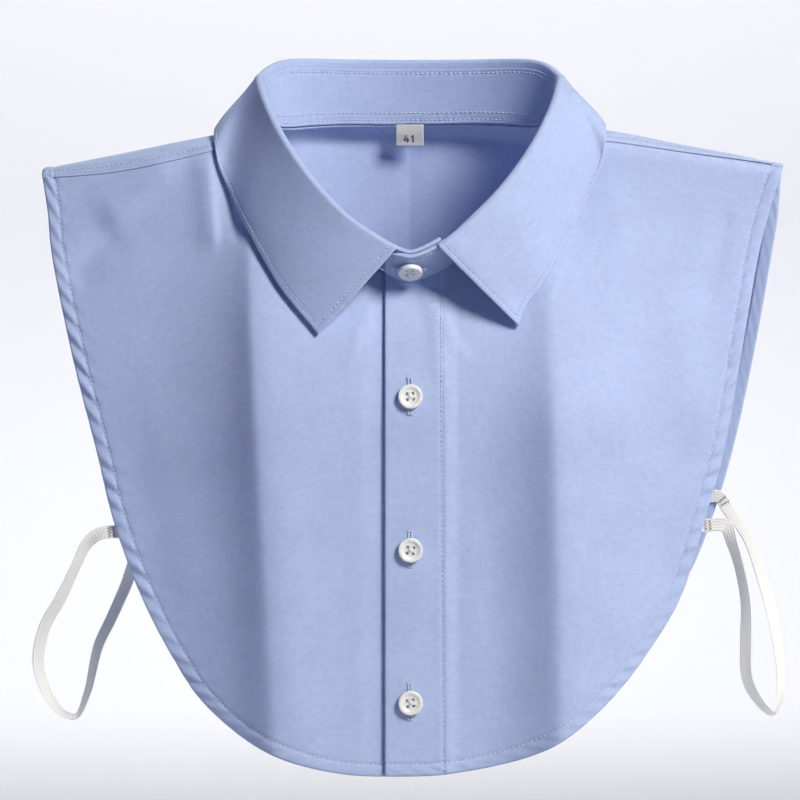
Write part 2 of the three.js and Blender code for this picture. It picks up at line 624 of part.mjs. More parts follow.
// Edge of the collar leaf by the angle round from the back
function leafEdge(angle) {
  const isLeft = angle < 0;
  const side = isLeft ? -1 : 1;
  const start = isLeft ? -LEAF_LEFT_START : LEAF_RIGHT_START;
  const tipX = isLeft ? LEAF_LEFT_TIP : LEAF_RIGHT_TIP;
  const tipDrop = isLeft ? LEAF_TIP_DROP : LEAF_TIP_DROP * 0.94;
  const rows = [
    { turn: 180 - THREE.MathUtils.radToDeg(Math.abs(frontAngle(FOLD_HALF_WIDTH, start))), x: tipX, z: -tipDrop },
    ...leafFrontRows.map((row) => ({
      turn: row.turn,
      x: LEAF_SPREAD * row.across,
      z: FOLD_SIDE_HEIGHT * row.height,
    })),
  ].map((row) => ({ turn: row.turn, x: row.x, run: runAt(side * row.x, row.z, true) }));
  for (const row of leafBackRows) {
    rows.push({ turn: row.turn, x: LEAF_SPREAD * row.across, run: BACK_ROUND * row.run });
  }
  const turn = 180 - THREE.MathUtils.radToDeg(Math.abs(angle));
  return raised({ x: side * read(rows, 'turn', 'x', turn), run: read(rows, 'turn', 'run', turn) }, LEAF_LIFT);
}

// The collar leaf: up from the stand, over in a round fold and down to its edge
function collarLeaf() {
  const sections = leafAngles().reverse().map((angle) => {
    const { up, out } = standFrame(angle);
    const base = foldPoint(angle).addScaledVector(up, SEAM_GAP);
    base.addScaledVector(out, layerLift * standLayer(angle));
    const points = [base];
    const rise = base.clone().addScaledVector(up, LEAF_RISE);
    for (let i = 0; i <= FOLD_STEPS; i += 1) {
      const turn = (Math.PI * i) / FOLD_STEPS;
      const point = rise.clone().addScaledVector(out, LEAF_FOLD_RADIUS * (1 - Math.cos(turn)));
      points.push(point.addScaledVector(up, LEAF_FOLD_RADIUS * Math.sin(turn)));
    }
    const start = points[points.length - 1];
    const end = leafEdge(angle);
    const reach = start.distanceTo(end);
    const startHandle = start.clone().addScaledVector(up, -0.25 * reach).addScaledVector(out, LEAF_BULGE);
    const endHandle = end.clone().lerp(start, 0.35).addScaledVector(out, LEAF_BULGE);
    const fall = new THREE.CubicBezierCurve3(start, startHandle, endHandle, end);
    for (let i = 1; i <= FALL_STEPS; i += 1) points.push(fall.getPoint(i / FALL_STEPS));
    return points;
  });
  const middle = sections[0].map((_, r) => sections.map((section) => section[r]));
  return sheet(middle, () => LEAF_THICKNESS);
}

// A closed mesh as a solid that can be cut, and back
function toSolid(geometry) {
  const bare = geometry.clone();
  bare.deleteAttribute('normal');
  bare.deleteAttribute('uv');
  const merged = mergeVertices(bare, 1e-4);
  const vertProperties = new Float32Array(merged.attributes.position.array);
  const triVerts = new Uint32Array(merged.index.array);
  return new wasm.Manifold(new wasm.Mesh({ numProp: 3, vertProperties, triVerts }));
}
function toGeometry(solid) {
  const mesh = solid.getMesh();
  const geometry = new THREE.BufferGeometry();
  geometry.setAttribute('position', new THREE.BufferAttribute(new Float32Array(mesh.vertProperties), 3));
  geometry.setIndex(new THREE.BufferAttribute(new Uint32Array(mesh.triVerts), 1));
  geometry.computeVertexNormals();
  return geometry;
}

// A button with a raised rim, a dished middle and four holes, standing on its back
function buttonGeometry() {
  const radius = BUTTON_DIAMETER / 2;
  const top = BUTTON_THICKNESS;
  const profile = [
    [0, 0],
    [radius - BUTTON_ROUND, 0],
    [radius, BUTTON_ROUND],
    [radius, top - BUTTON_ROUND],
    [radius - BUTTON_ROUND, top],
    [radius - BUTTON_RIM, top],
    [radius - BUTTON_RIM - BUTTON_DISH, top - BUTTON_DISH],
    [0, top - BUTTON_DISH],
  ].map(([r, z]) => new THREE.Vector2(r, z));
  const disc = new THREE.LatheGeometry(profile, BUTTON_SIDES).rotateX(Math.PI / 2);
  let solid = toSolid(disc);
  for (const x of [-0.5, 0.5]) {
    for (const y of [-0.5, 0.5]) {
      const hole = new THREE.CylinderGeometry(BUTTON_HOLE / 2, BUTTON_HOLE / 2, 3 * BUTTON_THICKNESS, 8);
      hole.rotateX(Math.PI / 2).translate(x * BUTTON_HOLE_PITCH, y * BUTTON_HOLE_PITCH, 0);
      solid = solid.subtract(toSolid(hole));
    }
  }
  return toGeometry(solid);
}

const clothMaterial = (color) => new THREE.MeshStandardMaterial({ color, roughness: 0.9, metalness: 0 });
const group = new THREE.Group();

function add(name, geometry, material) {
  const mesh = new THREE.Mesh(geometry, material);
  mesh.name = name;
  group.add(mesh);
  return mesh;
}

// Puts a piece that stands on its own XY plane at a point, with its top facing a direction
function stand(mesh, point, direction) {
  mesh.position.copy(point);
  mesh.quaternion.setFromUnitVectors(new THREE.Vector3(0, 0, 1), direction);
}

add('front_panel_placket', placketPanel(), clothMaterial('#b3c2e6'));
add('front_panel_underlap', underlapPanel(), clothMaterial('#a9b9e0'));
add('back_panel', backPanel(), clothMaterial('#9fb0da'));
add('collar_stand', collarStand(), clothMaterial('#a6b5dc'));
add('collar_leaf', collarLeaf(), clothMaterial('#bccaf0'));

// Buttons down the placket, and the one on the stand
const buttonMaterial = () => new THREE.MeshStandardMaterial({ color: '#dfe6ec', roughness: 0.3, metalness: 0 });
for (let i = 0; i < 3; i += 1) {
  const z = -(FIRST_BUTTON_DROP + i * BUTTON_PITCH);
  const at = { x: BUTTON_ACROSS, run: runAt(BUTTON_ACROSS, z, true) };
  const lift = placketLift + PLACKET_THICKNESS / 2 + BUTTON_SEAT;
  stand(add(`front_button_${i + 1}`, buttonGeometry(), buttonMaterial()), raised(at, lift), skinNormal(at));
}
const collarFrame = standFrame(Math.PI - 1e-4);
const collarSeat = neckPoint(Math.PI).lerp(foldPoint(Math.PI), 0.56);
collarSeat.addScaledVector(collarFrame.out, layerLift + STAND_THICKNESS / 2 + BUTTON_SEAT);
stand(add('collar_button', buttonGeometry(), buttonMaterial()), collarSeat, collarFrame.out);

// Size label, hung inside the back from the neck seam
const labelMaterial = new THREE.MeshStandardMaterial({ color: '#d5d8dd', roughness: 0.8, metalness: 0 });
const labelTop = neckPoint(0);
const label = add('size_label', new THREE.BoxGeometry(LABEL_WIDTH, LABEL_THICKNESS, LABEL_HEIGHT), labelMaterial);
label.position.set(
  labelTop.x,
  labelTop.y - STAND_THICKNESS / 2 - SEAM_GAP - LABEL_THICKNESS / 2,
  labelTop.z + CLOTH / 2 + 2 * SEAM_GAP - LABEL_HEIGHT / 2,
);

// A flat elastic loop, sewn behind the front's hem and behind the back's
function strapGeometry(side, rows, front, back) {
  const sewnLift = -(HEM_THICKNESS / 2 + STRAP_SEAT + STRAP_THICKNESS / 2);
  const seat = (isFront, drop) => {
    const edge = outlineCurve(side, isFront).find((point) => point.z < -drop);
    const at = (x) => raised({ x, run: runAt(x, edge.z, isFront) }, sewnLift);
    return { inside: at(edge.x - side * STRAP_HOLD), edge: at(edge.x) };
  };
  const start = seat(true, front);
  const end = seat(false, back);
  const points = [start.inside, start.edge];
  const turns = [90, 90];
  for (const row of rows) {
    const point = start.edge.clone().lerp(end.edge, row.deep);
    point.x += side * STRAP_REACH * row.out;
    point.z -= STRAP_DROP * row.down;
    points.push(point);
    turns.push(row.turn);
  }
  points.push(end.edge, end.inside);
  turns.push(90, 90);
  const curve = new THREE.CatmullRomCurve3(points, false, 'centripetal');
  const turnRows = turns.map((turn, i) => ({ at: i / (turns.length - 1), turn }));
  const middle = [];
  for (let i = 0; i <= STRAP_STEPS; i += 1) {
    const t = i / STRAP_STEPS;
    const along = curve.getTangent(t);
    const toBack = new THREE.Vector3(0, 1, 0);
    toBack.addScaledVector(along, -toBack.dot(along)).normalize();
    const across = along.clone().cross(toBack);
    const turn = radians(read(turnRows, 'at', 'turn', t));
    const width = toBack.multiplyScalar(Math.cos(turn)).addScaledVector(across, Math.sin(turn));
    const point = curve.getPoint(t);
    middle.push([-0.5, 0.5].map((share) => point.clone().addScaledVector(width, share * STRAP_WIDTH)));
  }
  return sheet(middle, () => STRAP_THICKNESS);
}

const elasticMaterial = () => new THREE.MeshStandardMaterial({ color: '#cfd2d6', roughness: 0.85, metalness: 0 });
const leftStrap = strapGeometry(-1, leftStrapRows, LEFT_FRONT_SEAM, LEFT_BACK_SEAM);
const rightStrap = strapGeometry(1, rightStrapRows, RIGHT_FRONT_SEAM, RIGHT_BACK_SEAM);
add('elastic_strap_left', leftStrap, elasticMaterial());
add('elastic_strap_right', rightStrap, elasticMaterial());

export default group;
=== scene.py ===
"""Dickey: a light blue shirt front with a folded collar, placket buttons and two elastic side loops.

The cloth follows the same surfaces as the CAD solids, with a finer grid, drape, seams and stitches.
Lengths are millimetres until a mesh is made, and places are in the frame's axes.
"""
import math

import bmesh
import bpy
import numpy as np
from mathutils import Matrix, Vector


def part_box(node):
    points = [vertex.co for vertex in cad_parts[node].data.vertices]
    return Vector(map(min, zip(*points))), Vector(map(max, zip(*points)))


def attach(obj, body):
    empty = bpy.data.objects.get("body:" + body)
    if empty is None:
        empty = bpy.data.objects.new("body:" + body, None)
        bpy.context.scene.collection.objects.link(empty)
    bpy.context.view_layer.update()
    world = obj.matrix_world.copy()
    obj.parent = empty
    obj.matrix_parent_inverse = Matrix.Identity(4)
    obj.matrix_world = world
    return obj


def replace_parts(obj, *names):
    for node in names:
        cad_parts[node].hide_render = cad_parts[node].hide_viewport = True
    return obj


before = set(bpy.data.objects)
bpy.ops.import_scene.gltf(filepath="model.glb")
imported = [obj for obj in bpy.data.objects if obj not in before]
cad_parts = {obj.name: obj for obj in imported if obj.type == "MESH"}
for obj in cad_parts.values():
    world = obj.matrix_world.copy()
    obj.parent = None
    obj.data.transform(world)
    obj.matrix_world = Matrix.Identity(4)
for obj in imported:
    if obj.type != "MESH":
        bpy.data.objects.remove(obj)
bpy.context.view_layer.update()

MM = 0.001
BODY = "root"

# Camera at the photograph's angle, level and straight ahead
CAMERA_AT = (-0.00475, -2.0, -0.0926)
LENS = 189.5
camera_data = bpy.data.cameras.new("camera")
camera_data.lens = LENS
camera_data.sensor_width = 36.0
camera_data.clip_end = 20.0
camera = bpy.data.objects.new("camera", camera_data)
camera.location = CAMERA_AT
camera.rotation_euler = (math.pi / 2, 0.0, 0.0)
bpy.context.scene.collection.objects.link(camera)
bpy.context.scene.camera = camera

# The body that the cloth lies on
HALF_WIDTH = 175.0
RIDGE_DEPTH = 2.0
RIDGE_HEIGHT = 45.0
FRONT_ROUND = 14.0
BACK_ROUND = 48.0
ROLL_DROP = 12.0
CHEST_DEPTH = 40.0
CHEST_REACH = 150.0
CHEST_SETTLE = 4.0  # its folds stand higher than the solids' ones, so the cloth between them lies deeper
CHEST_SPREAD = 1.06  # where the chest's roundness ends, as a share of HALF_WIDTH
CREASE_START = 14.0  # creases grow over this distance from the shoulder line
BACK_DEPTH = 12.0
BACK_REACH = 120.0

# Neck seam and top of the collar stand
RING_POINT = 1.41
NECK_HALF_WIDTH = 67.0
NECK_SIDE_HEIGHT = 37.0
NECK_FRONT_DROP = 74.0
NECK_BACK_DEPTH = 38.0
FOLD_HALF_WIDTH = 70.0
FOLD_SIDE_HEIGHT = 58.0
FOLD_BACK_HEIGHT = 67.5
FOLD_FRONT_DROP = 83.0
FOLD_FRONT_DEPTH = 56.0
FOLD_BACK_DEPTH = 37.0

# Outline
FRONT_LENGTH = 266.5
BACK_LENGTH = 250.0
MIDDLE = -5.0

# Cloth and seams
CLOTH = 0.8
FACE = 0.6  # from the middle surface to the cloth's outer face
HEM_WIDTH = 5.7  # edge to stitches
SEAM_NECK_TURN = 83.0
SEAM_LAP = 2.2  # the back's edge laps over the front's
SEAM_STITCH = 3.0  # that edge to its stitches
PLACKET_EDGE = 12.0
PLACKET_WIDTH = 28.0
PLACKET_LIFT = 0.9
PLACKET_THICKNESS = 2.0
UNDERLAP_EDGE = 14.0
UNDERLAP_WIDTH = 27.0
UNDERLAP_LIFT = -1.3
UNDERLAP_THICKNESS = 1.6
PLACKET_TOP = PLACKET_LIFT + PLACKET_THICKNESS / 2
UNDERLAP_TOP = UNDERLAP_LIFT + UNDERLAP_THICKNESS / 2
LAP_EASE = 12.0

# Collar
STAND_THICKNESS = 2.0
STAND_OUTER_END = 11.0
STAND_UNDER_END = 14.0
STAND_END_ROUND = 12.0
LAYER_LIFT = 1.2
LEAF_THICKNESS = 1.4
LEAF_FOLD_RADIUS = 1.3
LEAF_RISE_BACK = 2.4  # from the stand's top up to where the fold starts to turn
LEAF_RISE_ENDS = -0.7
LEAF_ROOT = 1.6  # sewn into the stand
LEAF_BULGE = 2.6
LEAF_LIFT = 2.5
LEAF_LEFT_START = 6.6
LEAF_RIGHT_START = 11.8
LEAF_SPREAD = 92.0
LEAF_LEFT_TIP = 42.7
LEAF_RIGHT_TIP = 50.4
LEAF_TIP_DROP = 63.2
LEAF_STITCH = 3.1  # edge to stitches
LEAF_STEPS = np.array([0, 0.12, 0.35, 0.7, 1.2, 1.8, 2.4, 2.8, 3.1, 3.4, 3.8, 4.4, 5.2, 6.2])

# Small pieces
BUTTON_DIAMETER = 11.4
BUTTON_THICKNESS = 2.4
BUTTON_SEAT = 0.35
BUTTON_FLOOR = 0.7  # from the rim's top down to the middle of the dish
BUTTON_DISH = ((1.3, 0.03), (1.7, 0.22), (2.1, 0.52), (2.5, 0.68), (3.1, 0.72))  # in from the side, down
HOLE_PITCH = 2.7
HOLE_RADIUS = 0.72
FIRST_BUTTON_DROP = 91.5
BUTTON_PITCH = 70.5
BUTTON_ACROSS = -0.3
COLLAR_BUTTON_SHARE = 0.56  # of the stand's height
PLACKET_BUTTONHOLE = dict(above=8.6, below=7.4, wide=1.35)
COLLAR_BUTTONHOLE = dict(above=8.4, below=6.4, wide=1.2)
STRAP_WIDTH = 6.0
STRAP_THICKNESS = 1.0
STRAP_HOLD = 6.0
STRAP_DROP = 88.0
STRAP_REACH = 44.5
STRAP_SEAT = 0.7
STRAP_STEPS = 460
STRAP_RIB = 1.5
STRAP_CORDS = 5
STRAP_CURL = 0.25
STRAP_WAVE = 13.0
TACK_START = 1.4  # from the hem's edge to its first row of tacks
TACK_ROWS = (0.0, 2.2)
TACK_STEP = 1.5
HEM_HALF = 1.0
STRAP_SEAMS = {-1: (154.0, 159.0), 1: (151.0, 139.0)}  # drop of the front's and the back's seam

# Stitches of all seams
STITCH_PITCH = 2.3
STITCH_SHARE = 0.74  # of the pitch, seen on top
STITCH_RADIUS = 0.3
STITCH_ARCH = 0.14
STAND_STITCH = 2.2  # edge to stitches
STAND_INNER_STITCH = 5.6
SATIN_PITCH = 0.42
SATIN_RADIUS = 0.27


def rows(columns, *values):
    """A table as a dictionary of columns."""
    return dict(zip(columns.split(), np.array(values, float).T))


# Shoulder line: across is a share of HALF_WIDTH, the rest of their own named sizes
SHOULDER = rows(
    "across left right front back drop",
    (0.0, 1.0, 1.0, 1.0, 1.0, 1.0),
    (0.17, 0.985, 0.995, 1.0, 0.92, 1.0),
    (0.27, 0.945, 0.96, 1.0, 0.77, 1.0),
    (0.34, 0.885, 0.905, 1.0, 0.6, 1.0),
    (0.39, 0.835, 0.86, 1.0, 0.51, 1.0),
    (0.45, 0.785, 0.825, 0.97, 0.41, 1.0),
    (0.52, 0.74, 0.79, 0.93, 0.34, 0.98),
    (0.6, 0.68, 0.735, 0.86, 0.28, 0.9),
    (0.8, 0.52, 0.575, 0.62, 0.18, 0.65),
    (1.05, 0.33, 0.37, 0.36, 0.11, 0.42),
)
SEAMS = {-1: dict(tip=0.996, turn=68.0, bow=0.3), 1: dict(tip=1.012, turn=14.0, bow=0.08)}
OUTLINE = rows(
    "down left_front right_front left_back right_back",
    (0.015, 0.981, 0.972, 0.97, 1.004),
    (0.081, 0.971, 0.946, 0.948, 0.99),
    (0.259, 0.913, 0.894, 0.89, 0.948),
    (0.436, 0.841, 0.842, 0.818, 0.896),
    (0.559, 0.794, 0.789, 0.771, 0.847),
    (0.698, 0.714, 0.719, 0.691, 0.772),
    (0.8, 0.631, 0.62, 0.608, 0.678),
    (0.87, 0.558, 0.53, 0.535, 0.575),
    (0.937, 0.437, 0.406, 0.414, 0.43),
    (0.971, 0.33, 0.295, 0.307, 0.31),
    (0.996, 0.17, 0.11, 0.147, 0.115),
)
LEAF_FRONT = rows(
    "turn across height",
    (30, 0.58, -0.875),
    (42, 0.665, -0.69),
    (54, 0.75, -0.455),
    (66, 0.836, -0.2),
    (78, 0.925, 0.1),
    (88, 0.99, 0.36),
)
LEAF_BACK = rows(
    "turn across run",
    (98, 1.0, 0.0),
    (112, 0.965, 0.33),
    (130, 0.82, 0.66),
    (155, 0.44, 0.99),
    (180, 0.0, 1.12),
)

# Elastic loops from the front edge to the back edge
STRAPS = {
    -1: rows(
        "out deep down turn",
        (0.2, 0.01, 0.01, 88),
        (0.34, 0.04, 0.06, 62),
        (0.48, 0.1, 0.18, 48),
        (0.66, 0.2, 0.34, 58),
        (0.88, 0.32, 0.51, 66),
        (0.97, 0.42, 0.7, 60),
        (0.88, 0.5, 0.87, 42),
        (0.74, 0.56, 0.96, 26),
        (0.62, 0.61, 0.97, 22),
        (0.53, 0.68, 0.85, 34),
        (0.44, 0.78, 0.59, 52),
        (0.32, 0.88, 0.43, 60),
        (0.18, 0.96, 0.24, 70),
        (0.09, 1.0, 0.09, 84),
    ),
    1: rows(
        "out deep down turn",
        (0.251, 0.0, 0.0, 92),
        (0.311, 0.03, 0.09, 120),
        (0.386, 0.08, 0.24, 132),
        (0.44, 0.16, 0.45, 126),
        (0.422, 0.25, 0.66, 118),
        (0.42, 0.35, 0.87, 122),
        (0.515, 0.43, 1.0, 134),
        (0.656, 0.52, 1.09, 152),
        (0.724, 0.59, 1.04, 148),
        (0.725, 0.68, 0.92, 130),
        (0.644, 0.78, 0.68, 118),
        (0.508, 0.86, 0.45, 114),
        (0.316, 0.93, 0.2, 110),
        (0.12, 0.98, 0.08, 100),
    ),
}

# Folds down the cloth: crest at the top and at the hem, slope lengths left and right of it, height,
# start and full growth as shares of the length, and how round the crest is at both ends (0 sharp, 1 round)
FRONT_FOLDS = rows(
    "top hem left right height start full soft_top soft_hem",
    (-0.434, -0.342, 0.09, 0.26, 0.082, -0.16, 0.25, 0.12, 0.55),
    (0.372, 0.412, 0.09, 0.18, 0.078, -0.04, 0.4, 0.3, 0.45),
    (-1.0, -0.9, 0.25, 0.34, 0.066, -0.05, 0.4, 0.5, 0.5),
    (1.0, 0.9, 0.3, 0.25, 0.048, -0.05, 0.4, 0.5, 0.5),
    (-0.7, -0.62, 0.1, 0.08, -0.014, 0.05, 0.5, 1.0, 1.0),
    (0.68, 0.66, 0.1, 0.1, -0.016, 0.05, 0.5, 1.0, 1.0),
    (-0.16, -0.18, 0.1, 0.1, -0.012, 0.25, 0.8, 1.0, 1.0),
    (0.2, 0.22, 0.09, 0.09, -0.014, 0.2, 0.8, 1.0, 1.0),
)
BACK_FOLDS = rows(
    "top hem left right height start full soft_top soft_hem",
    (-0.3, -0.4, 0.11, 0.11, 0.028, 0.1, 0.8, 0.5, 0.8),
    (0.28, 0.36, 0.11, 0.11, 0.03, 0.1, 0.8, 0.5, 0.8),
    (0.0, 0.02, 0.13, 0.13, -0.016, 0.2, 0.9, 1.0, 1.0),
    (-0.09, -0.14, 0.05, 0.07, 0.012, -0.16, 0.2, 0.6, 0.9),
    (0.09, 0.13, 0.06, 0.05, 0.01, -0.16, 0.2, 0.6, 0.9),
    (-0.24, -0.28, 0.05, 0.05, 0.008, -0.16, 0.2, 0.8, 0.9),
)

# Soft creases on the front, end to end as (x, z), with half widths on either side and a height
CREASES = rows(
    "x0 z0 x1 z1 wide_a wide_b height",
    (-110, 19, -146, -8, 5, 11, 2.2),
    (-140, -10, -160, -38, 8, 8, -1.8),
    (-96, 24, -92, -22, 3, 7, 2.0),
    (-88, 20, -80, -18, 3, 4, -1.4),
    (70, -6, 62, -62, 6, 9, 1.1),
    (4, -40, 26, -74, 3, 5, 0.7),
    (10, -44, 14, -84, 2.5, 4, 0.6),
    (-16, -44, -30, -78, 3, 4, 0.6),
    (120, -30, 138, -118, 10, 14, 1.2),
    (150, 2, 140, -52, 5, 8, -0.9),
    (96, 12, 100, -50, 9, 9, 0.8),
    (-120, -80, -104, -190, 12, 10, 1.0),
    (118, -120, 96, -212, 10, 12, 1.0),
    (-60, -120, -56, -235, 8, 8, 0.5),
    (28, -150, 34, -240, 8, 8, 0.5),
)


def smooth(t):
    c = np.clip(t, 0, 1)
    return c * c * (3 - 2 * c)


def mix(a, b, t):
    return a + (b - a) * t


def unit(v):
    return v / np.maximum(np.linalg.norm(v, axis=-1, keepdims=True), 1e-12)


def read(table, along, column, at):
    """Smooth reading of one column along another."""
    xs, ys = table[along], table[column]
    n = len(xs)
    at = np.asarray(at, float)
    i = np.searchsorted(xs[1:-1], at, side="left")
    low, high = np.maximum(np.arange(n) - 1, 0), np.minimum(np.arange(n) + 1, n - 1)
    slope = (ys[high] - ys[low]) / (xs[high] - xs[low])
    span, rise = xs[i + 1] - xs[i], ys[i + 1] - ys[i]
    t = np.clip((at - xs[i]) / span, 0, 1)
    bend = (slope[i] * span - rise) * (1 - t) - (slope[i + 1] * span - rise) * t
    return ys[i] + rise * t + t * (1 - t) * bend


def shoulder(x, is_front):
    """Height, depth, drop and length of the shoulder's roll at places across."""
    across = np.minimum(np.abs(x) / HALF_WIDTH, 1.05)
    left, right = (read(SHOULDER, "across", side, across) for side in ("left", "right"))
    height = RIDGE_HEIGHT * np.where(x < 0, left, right)
    front = FRONT_ROUND * read(SHOULDER, "across", "front", across)
    back = BACK_ROUND * read(SHOULDER, "across", "back", across)
    drop = ROLL_DROP * read(SHOULDER, "across", "drop", across)
    deep = np.where(is_front, front, back)
    drop = np.where(is_front, front, drop)
    return height, deep, drop, math.pi / 4 * (deep + drop)


def folds(table, x, share):
    """Height of all folds, at a share of the way down to the hem."""
    out = 0.0
    for top, hem, left, right, height, start, full, soft_top, soft_hem in zip(*table.values()):
        away = x / HALF_WIDTH - mix(top, hem, share)
        away = away / np.where(away < 0, left, right)
        soft = mix(soft_top, soft_hem, np.clip(share, 0, 1))
        grown = smooth((share - start) / (full - start))
        out = out + HALF_WIDTH * height * grown * np.exp(soft - np.sqrt(away * away + soft * soft))
    return out


def creases(x, z):
    out = 0.0
    for x0, z0, x1, z1, wide_a, wide_b, height in zip(*CREASES.values()):
        length = math.hypot(x1 - x0, z1 - z0)
        ux, uz = (x1 - x0) / length, (z1 - z0) / length
        along = ((x - x0) * ux + (z - z0) * uz) / length
        side = (x - x0) * uz - (z - z0) * ux
        wide = np.where(side < 0, wide_a, wide_b)
        ends = np.exp(-(np.clip(np.abs(along - 0.5) - 0.28, 0, None) / 0.2) ** 2)
        out = out + height * ends * np.exp(-((side / wide) ** 2))
    return out


def ripple(x, z):
    """Faint unevenness of pressed cotton."""
    slow = np.sin(x / 17.0 + 1.3 * np.sin(z / 61.0)) * np.sin(z / 83.0 + 0.7)
    fine = np.sin(x / 7.3 + z / 31.0 + 0.9) * np.sin(z / 23.0 - x / 41.0)
    return 0.16 * slow + 0.05 * fine


def skin(x, run):
    """The cloth's middle surface. Run is the distance from the shoulder line, below 0 on the front."""
    x, run = np.broadcast_arrays(np.asarray(x, float), np.asarray(run, float))
    is_front = run < 0
    height, deep, drop, roll = shoulder(x, is_front)
    far = np.abs(run)
    angle = np.minimum(far / roll, 1) * math.pi / 2
    below = drop * (1 - np.cos(angle)) + np.maximum(far - roll, 0)
    z = height - below
    narrowing = 1 - np.minimum(np.abs(x) / (CHEST_SPREAD * HALF_WIDTH), 1) ** 2
    eased = smooth(far / CREASE_START)
    settled = smooth(below / CHEST_REACH)
    chest = CHEST_DEPTH * narrowing * settled + folds(FRONT_FOLDS, x, -z / FRONT_LENGTH)
    chest = chest - CHEST_SETTLE * settled + eased * (creases(x, z) + ripple(x, z))
    back = BACK_DEPTH * smooth(below / BACK_REACH) + folds(BACK_FOLDS, x, -z / BACK_LENGTH)
    back = back + eased * ripple(x + 31.0, z - 17.0)
    out = deep * np.sin(angle) + np.where(is_front, chest, back)
    return np.stack([x, RIDGE_DEPTH + np.where(is_front, -out, out), z], -1)


def run_at(x, z, is_front):
    """Distance from the shoulder line at a height."""
    height, _, drop, roll = shoulder(np.asarray(x, float), is_front)
    below = np.maximum(height - z, 0)
    turned = np.arccos(1 - np.minimum(below / drop, 1)) / (math.pi / 2)
    run = roll * turned + np.maximum(below - drop, 0)
    return np.where(is_front, -run, run)


def skin_normal(x, run):
    step = 0.5
    across = skin(x + step, run) - skin(x - step, run)
    along = skin(x, run + step) - skin(x, run - step)
    return unit(np.cross(across, along))


def neck_place(angle):
    """Neck seam by the angle round from the back."""
    angle = np.asarray(angle, float)
    side, to_back = np.sin(angle), np.cos(angle)
    front_x = NECK_HALF_WIDTH * np.sign(side) * np.abs(side) ** RING_POINT
    front_z = NECK_SIDE_HEIGHT - NECK_FRONT_DROP * np.maximum(-to_back, 0) ** RING_POINT
    back_x = NECK_HALF_WIDTH * side
    _, deep, _, roll = shoulder(back_x, np.zeros(back_x.shape, bool))
    turned = np.arcsin(np.minimum(NECK_BACK_DEPTH * np.maximum(to_back, 0) / deep, 1)) / (math.pi / 2)
    is_front = to_back < 0
    x = np.where(is_front, front_x, back_x)
    return x, np.where(is_front, run_at(front_x, front_z, np.ones(x.shape, bool)), roll * turned)


def neck_point(angle):
    return skin(*neck_place(angle))


def fold_point(angle):
    """Top of the collar stand by the same angle."""
    angle = np.asarray(angle, float)
    side, to_back = np.sin(angle), np.cos(angle)
    across = np.sign(side) * np.abs(side) ** RING_POINT
    front_y = -FOLD_FRONT_DEPTH * np.sqrt(np.maximum(1 - across * across, 0))
    front_z = FOLD_SIDE_HEIGHT - FOLD_FRONT_DROP * np.maximum(-to_back, 0) ** RING_POINT
    back_z = mix(FOLD_BACK_HEIGHT, FOLD_SIDE_HEIGHT, np.abs(side) ** 12)
    front = np.stack([FOLD_HALF_WIDTH * across, front_y, front_z], -1)
    back = np.stack([FOLD_HALF_WIDTH * side, FOLD_BACK_DEPTH * to_back, back_z], -1)
    return np.where((to_back < 0)[..., None], front, back)


def front_angle(half_width, x):
    turn = math.pi - math.asin((abs(x) / half_width) ** (1 / RING_POINT))
    return -turn if x < 0 else turn


def lengths_of(points, axis=0):
    """How far each point is along its line, for one line or for a grid of them."""
    steps = np.linalg.norm(np.diff(points, axis=axis), axis=-1)
    start = np.zeros_like(np.take(steps, [0], axis=axis))
    return np.concatenate([start, np.cumsum(steps, axis=axis)], axis=axis)


def end_shares(steps, next_step, length, count):
    """Shares of a length, with fine steps at both ends and even ones between."""
    ends = np.array(steps) / length
    inner = next_step / length
    return np.concatenate([ends, np.linspace(inner, 1 - inner, count), 1 - ends[::-1]])


def even_params(point, start, end, count):
    """Params that cut a curve into even lengths, or count as an array of shares."""
    params = np.linspace(start, end, 4000)
    far = lengths_of(point(params))
    shares = np.linspace(0, 1, count + 1) if np.isscalar(count) else count
    return np.interp(shares * far[-1], far, params)


def seam_place(side, share, down):
    """The shoulder seam on one side: 0 at the neck, 1 at the tip, moved down the front by a distance."""
    seam = SEAMS[side]
    start_x, start_run = neck_place(side * math.radians(180 - SEAM_NECK_TURN))
    tip_x = side * HALF_WIDTH * seam["tip"]
    tip_run = -float(shoulder(np.array(tip_x), True)[3]) * seam["turn"] / 90
    bow = FRONT_ROUND * seam["bow"] * np.sin(math.pi * share)
    return mix(start_x, tip_x, share), mix(start_run, tip_run, share) - bow - down


def catmull_rom(points, count):
    """Centripetal Catmull-Rom curve through points."""
    points = np.asarray(points, float)
    ends = [2 * points[0] - points[1], *points, 2 * points[-1] - points[-2]]
    n = len(points) - 1
    result = []
    for t in np.linspace(0, n, count + 1):
        i = min(int(t), n - 1)
        w = t - i
        p0, p1, p2, p3 = ends[i], ends[i + 1], ends[i + 2], ends[i + 3]
        d0, d1, d2 = (max(np.linalg.norm(b - a) ** 0.5, 1e-4) for a, b in ((p0, p1), (p1, p2), (p2, p3)))
        m1 = ((p1 - p0) / d0 - (p2 - p0) / (d0 + d1) + (p2 - p1) / d1) * d1
        m2 = ((p2 - p1) / d1 - (p3 - p1) / (d1 + d2) + (p3 - p2) / d2) * d1
        result.append(
            p1 + m1 * w + (3 * (p2 - p1) - 2 * m1 - m2) * w**2 + (2 * (p1 - p2) + m1 + m2) * w**3
        )
    return np.array(result)


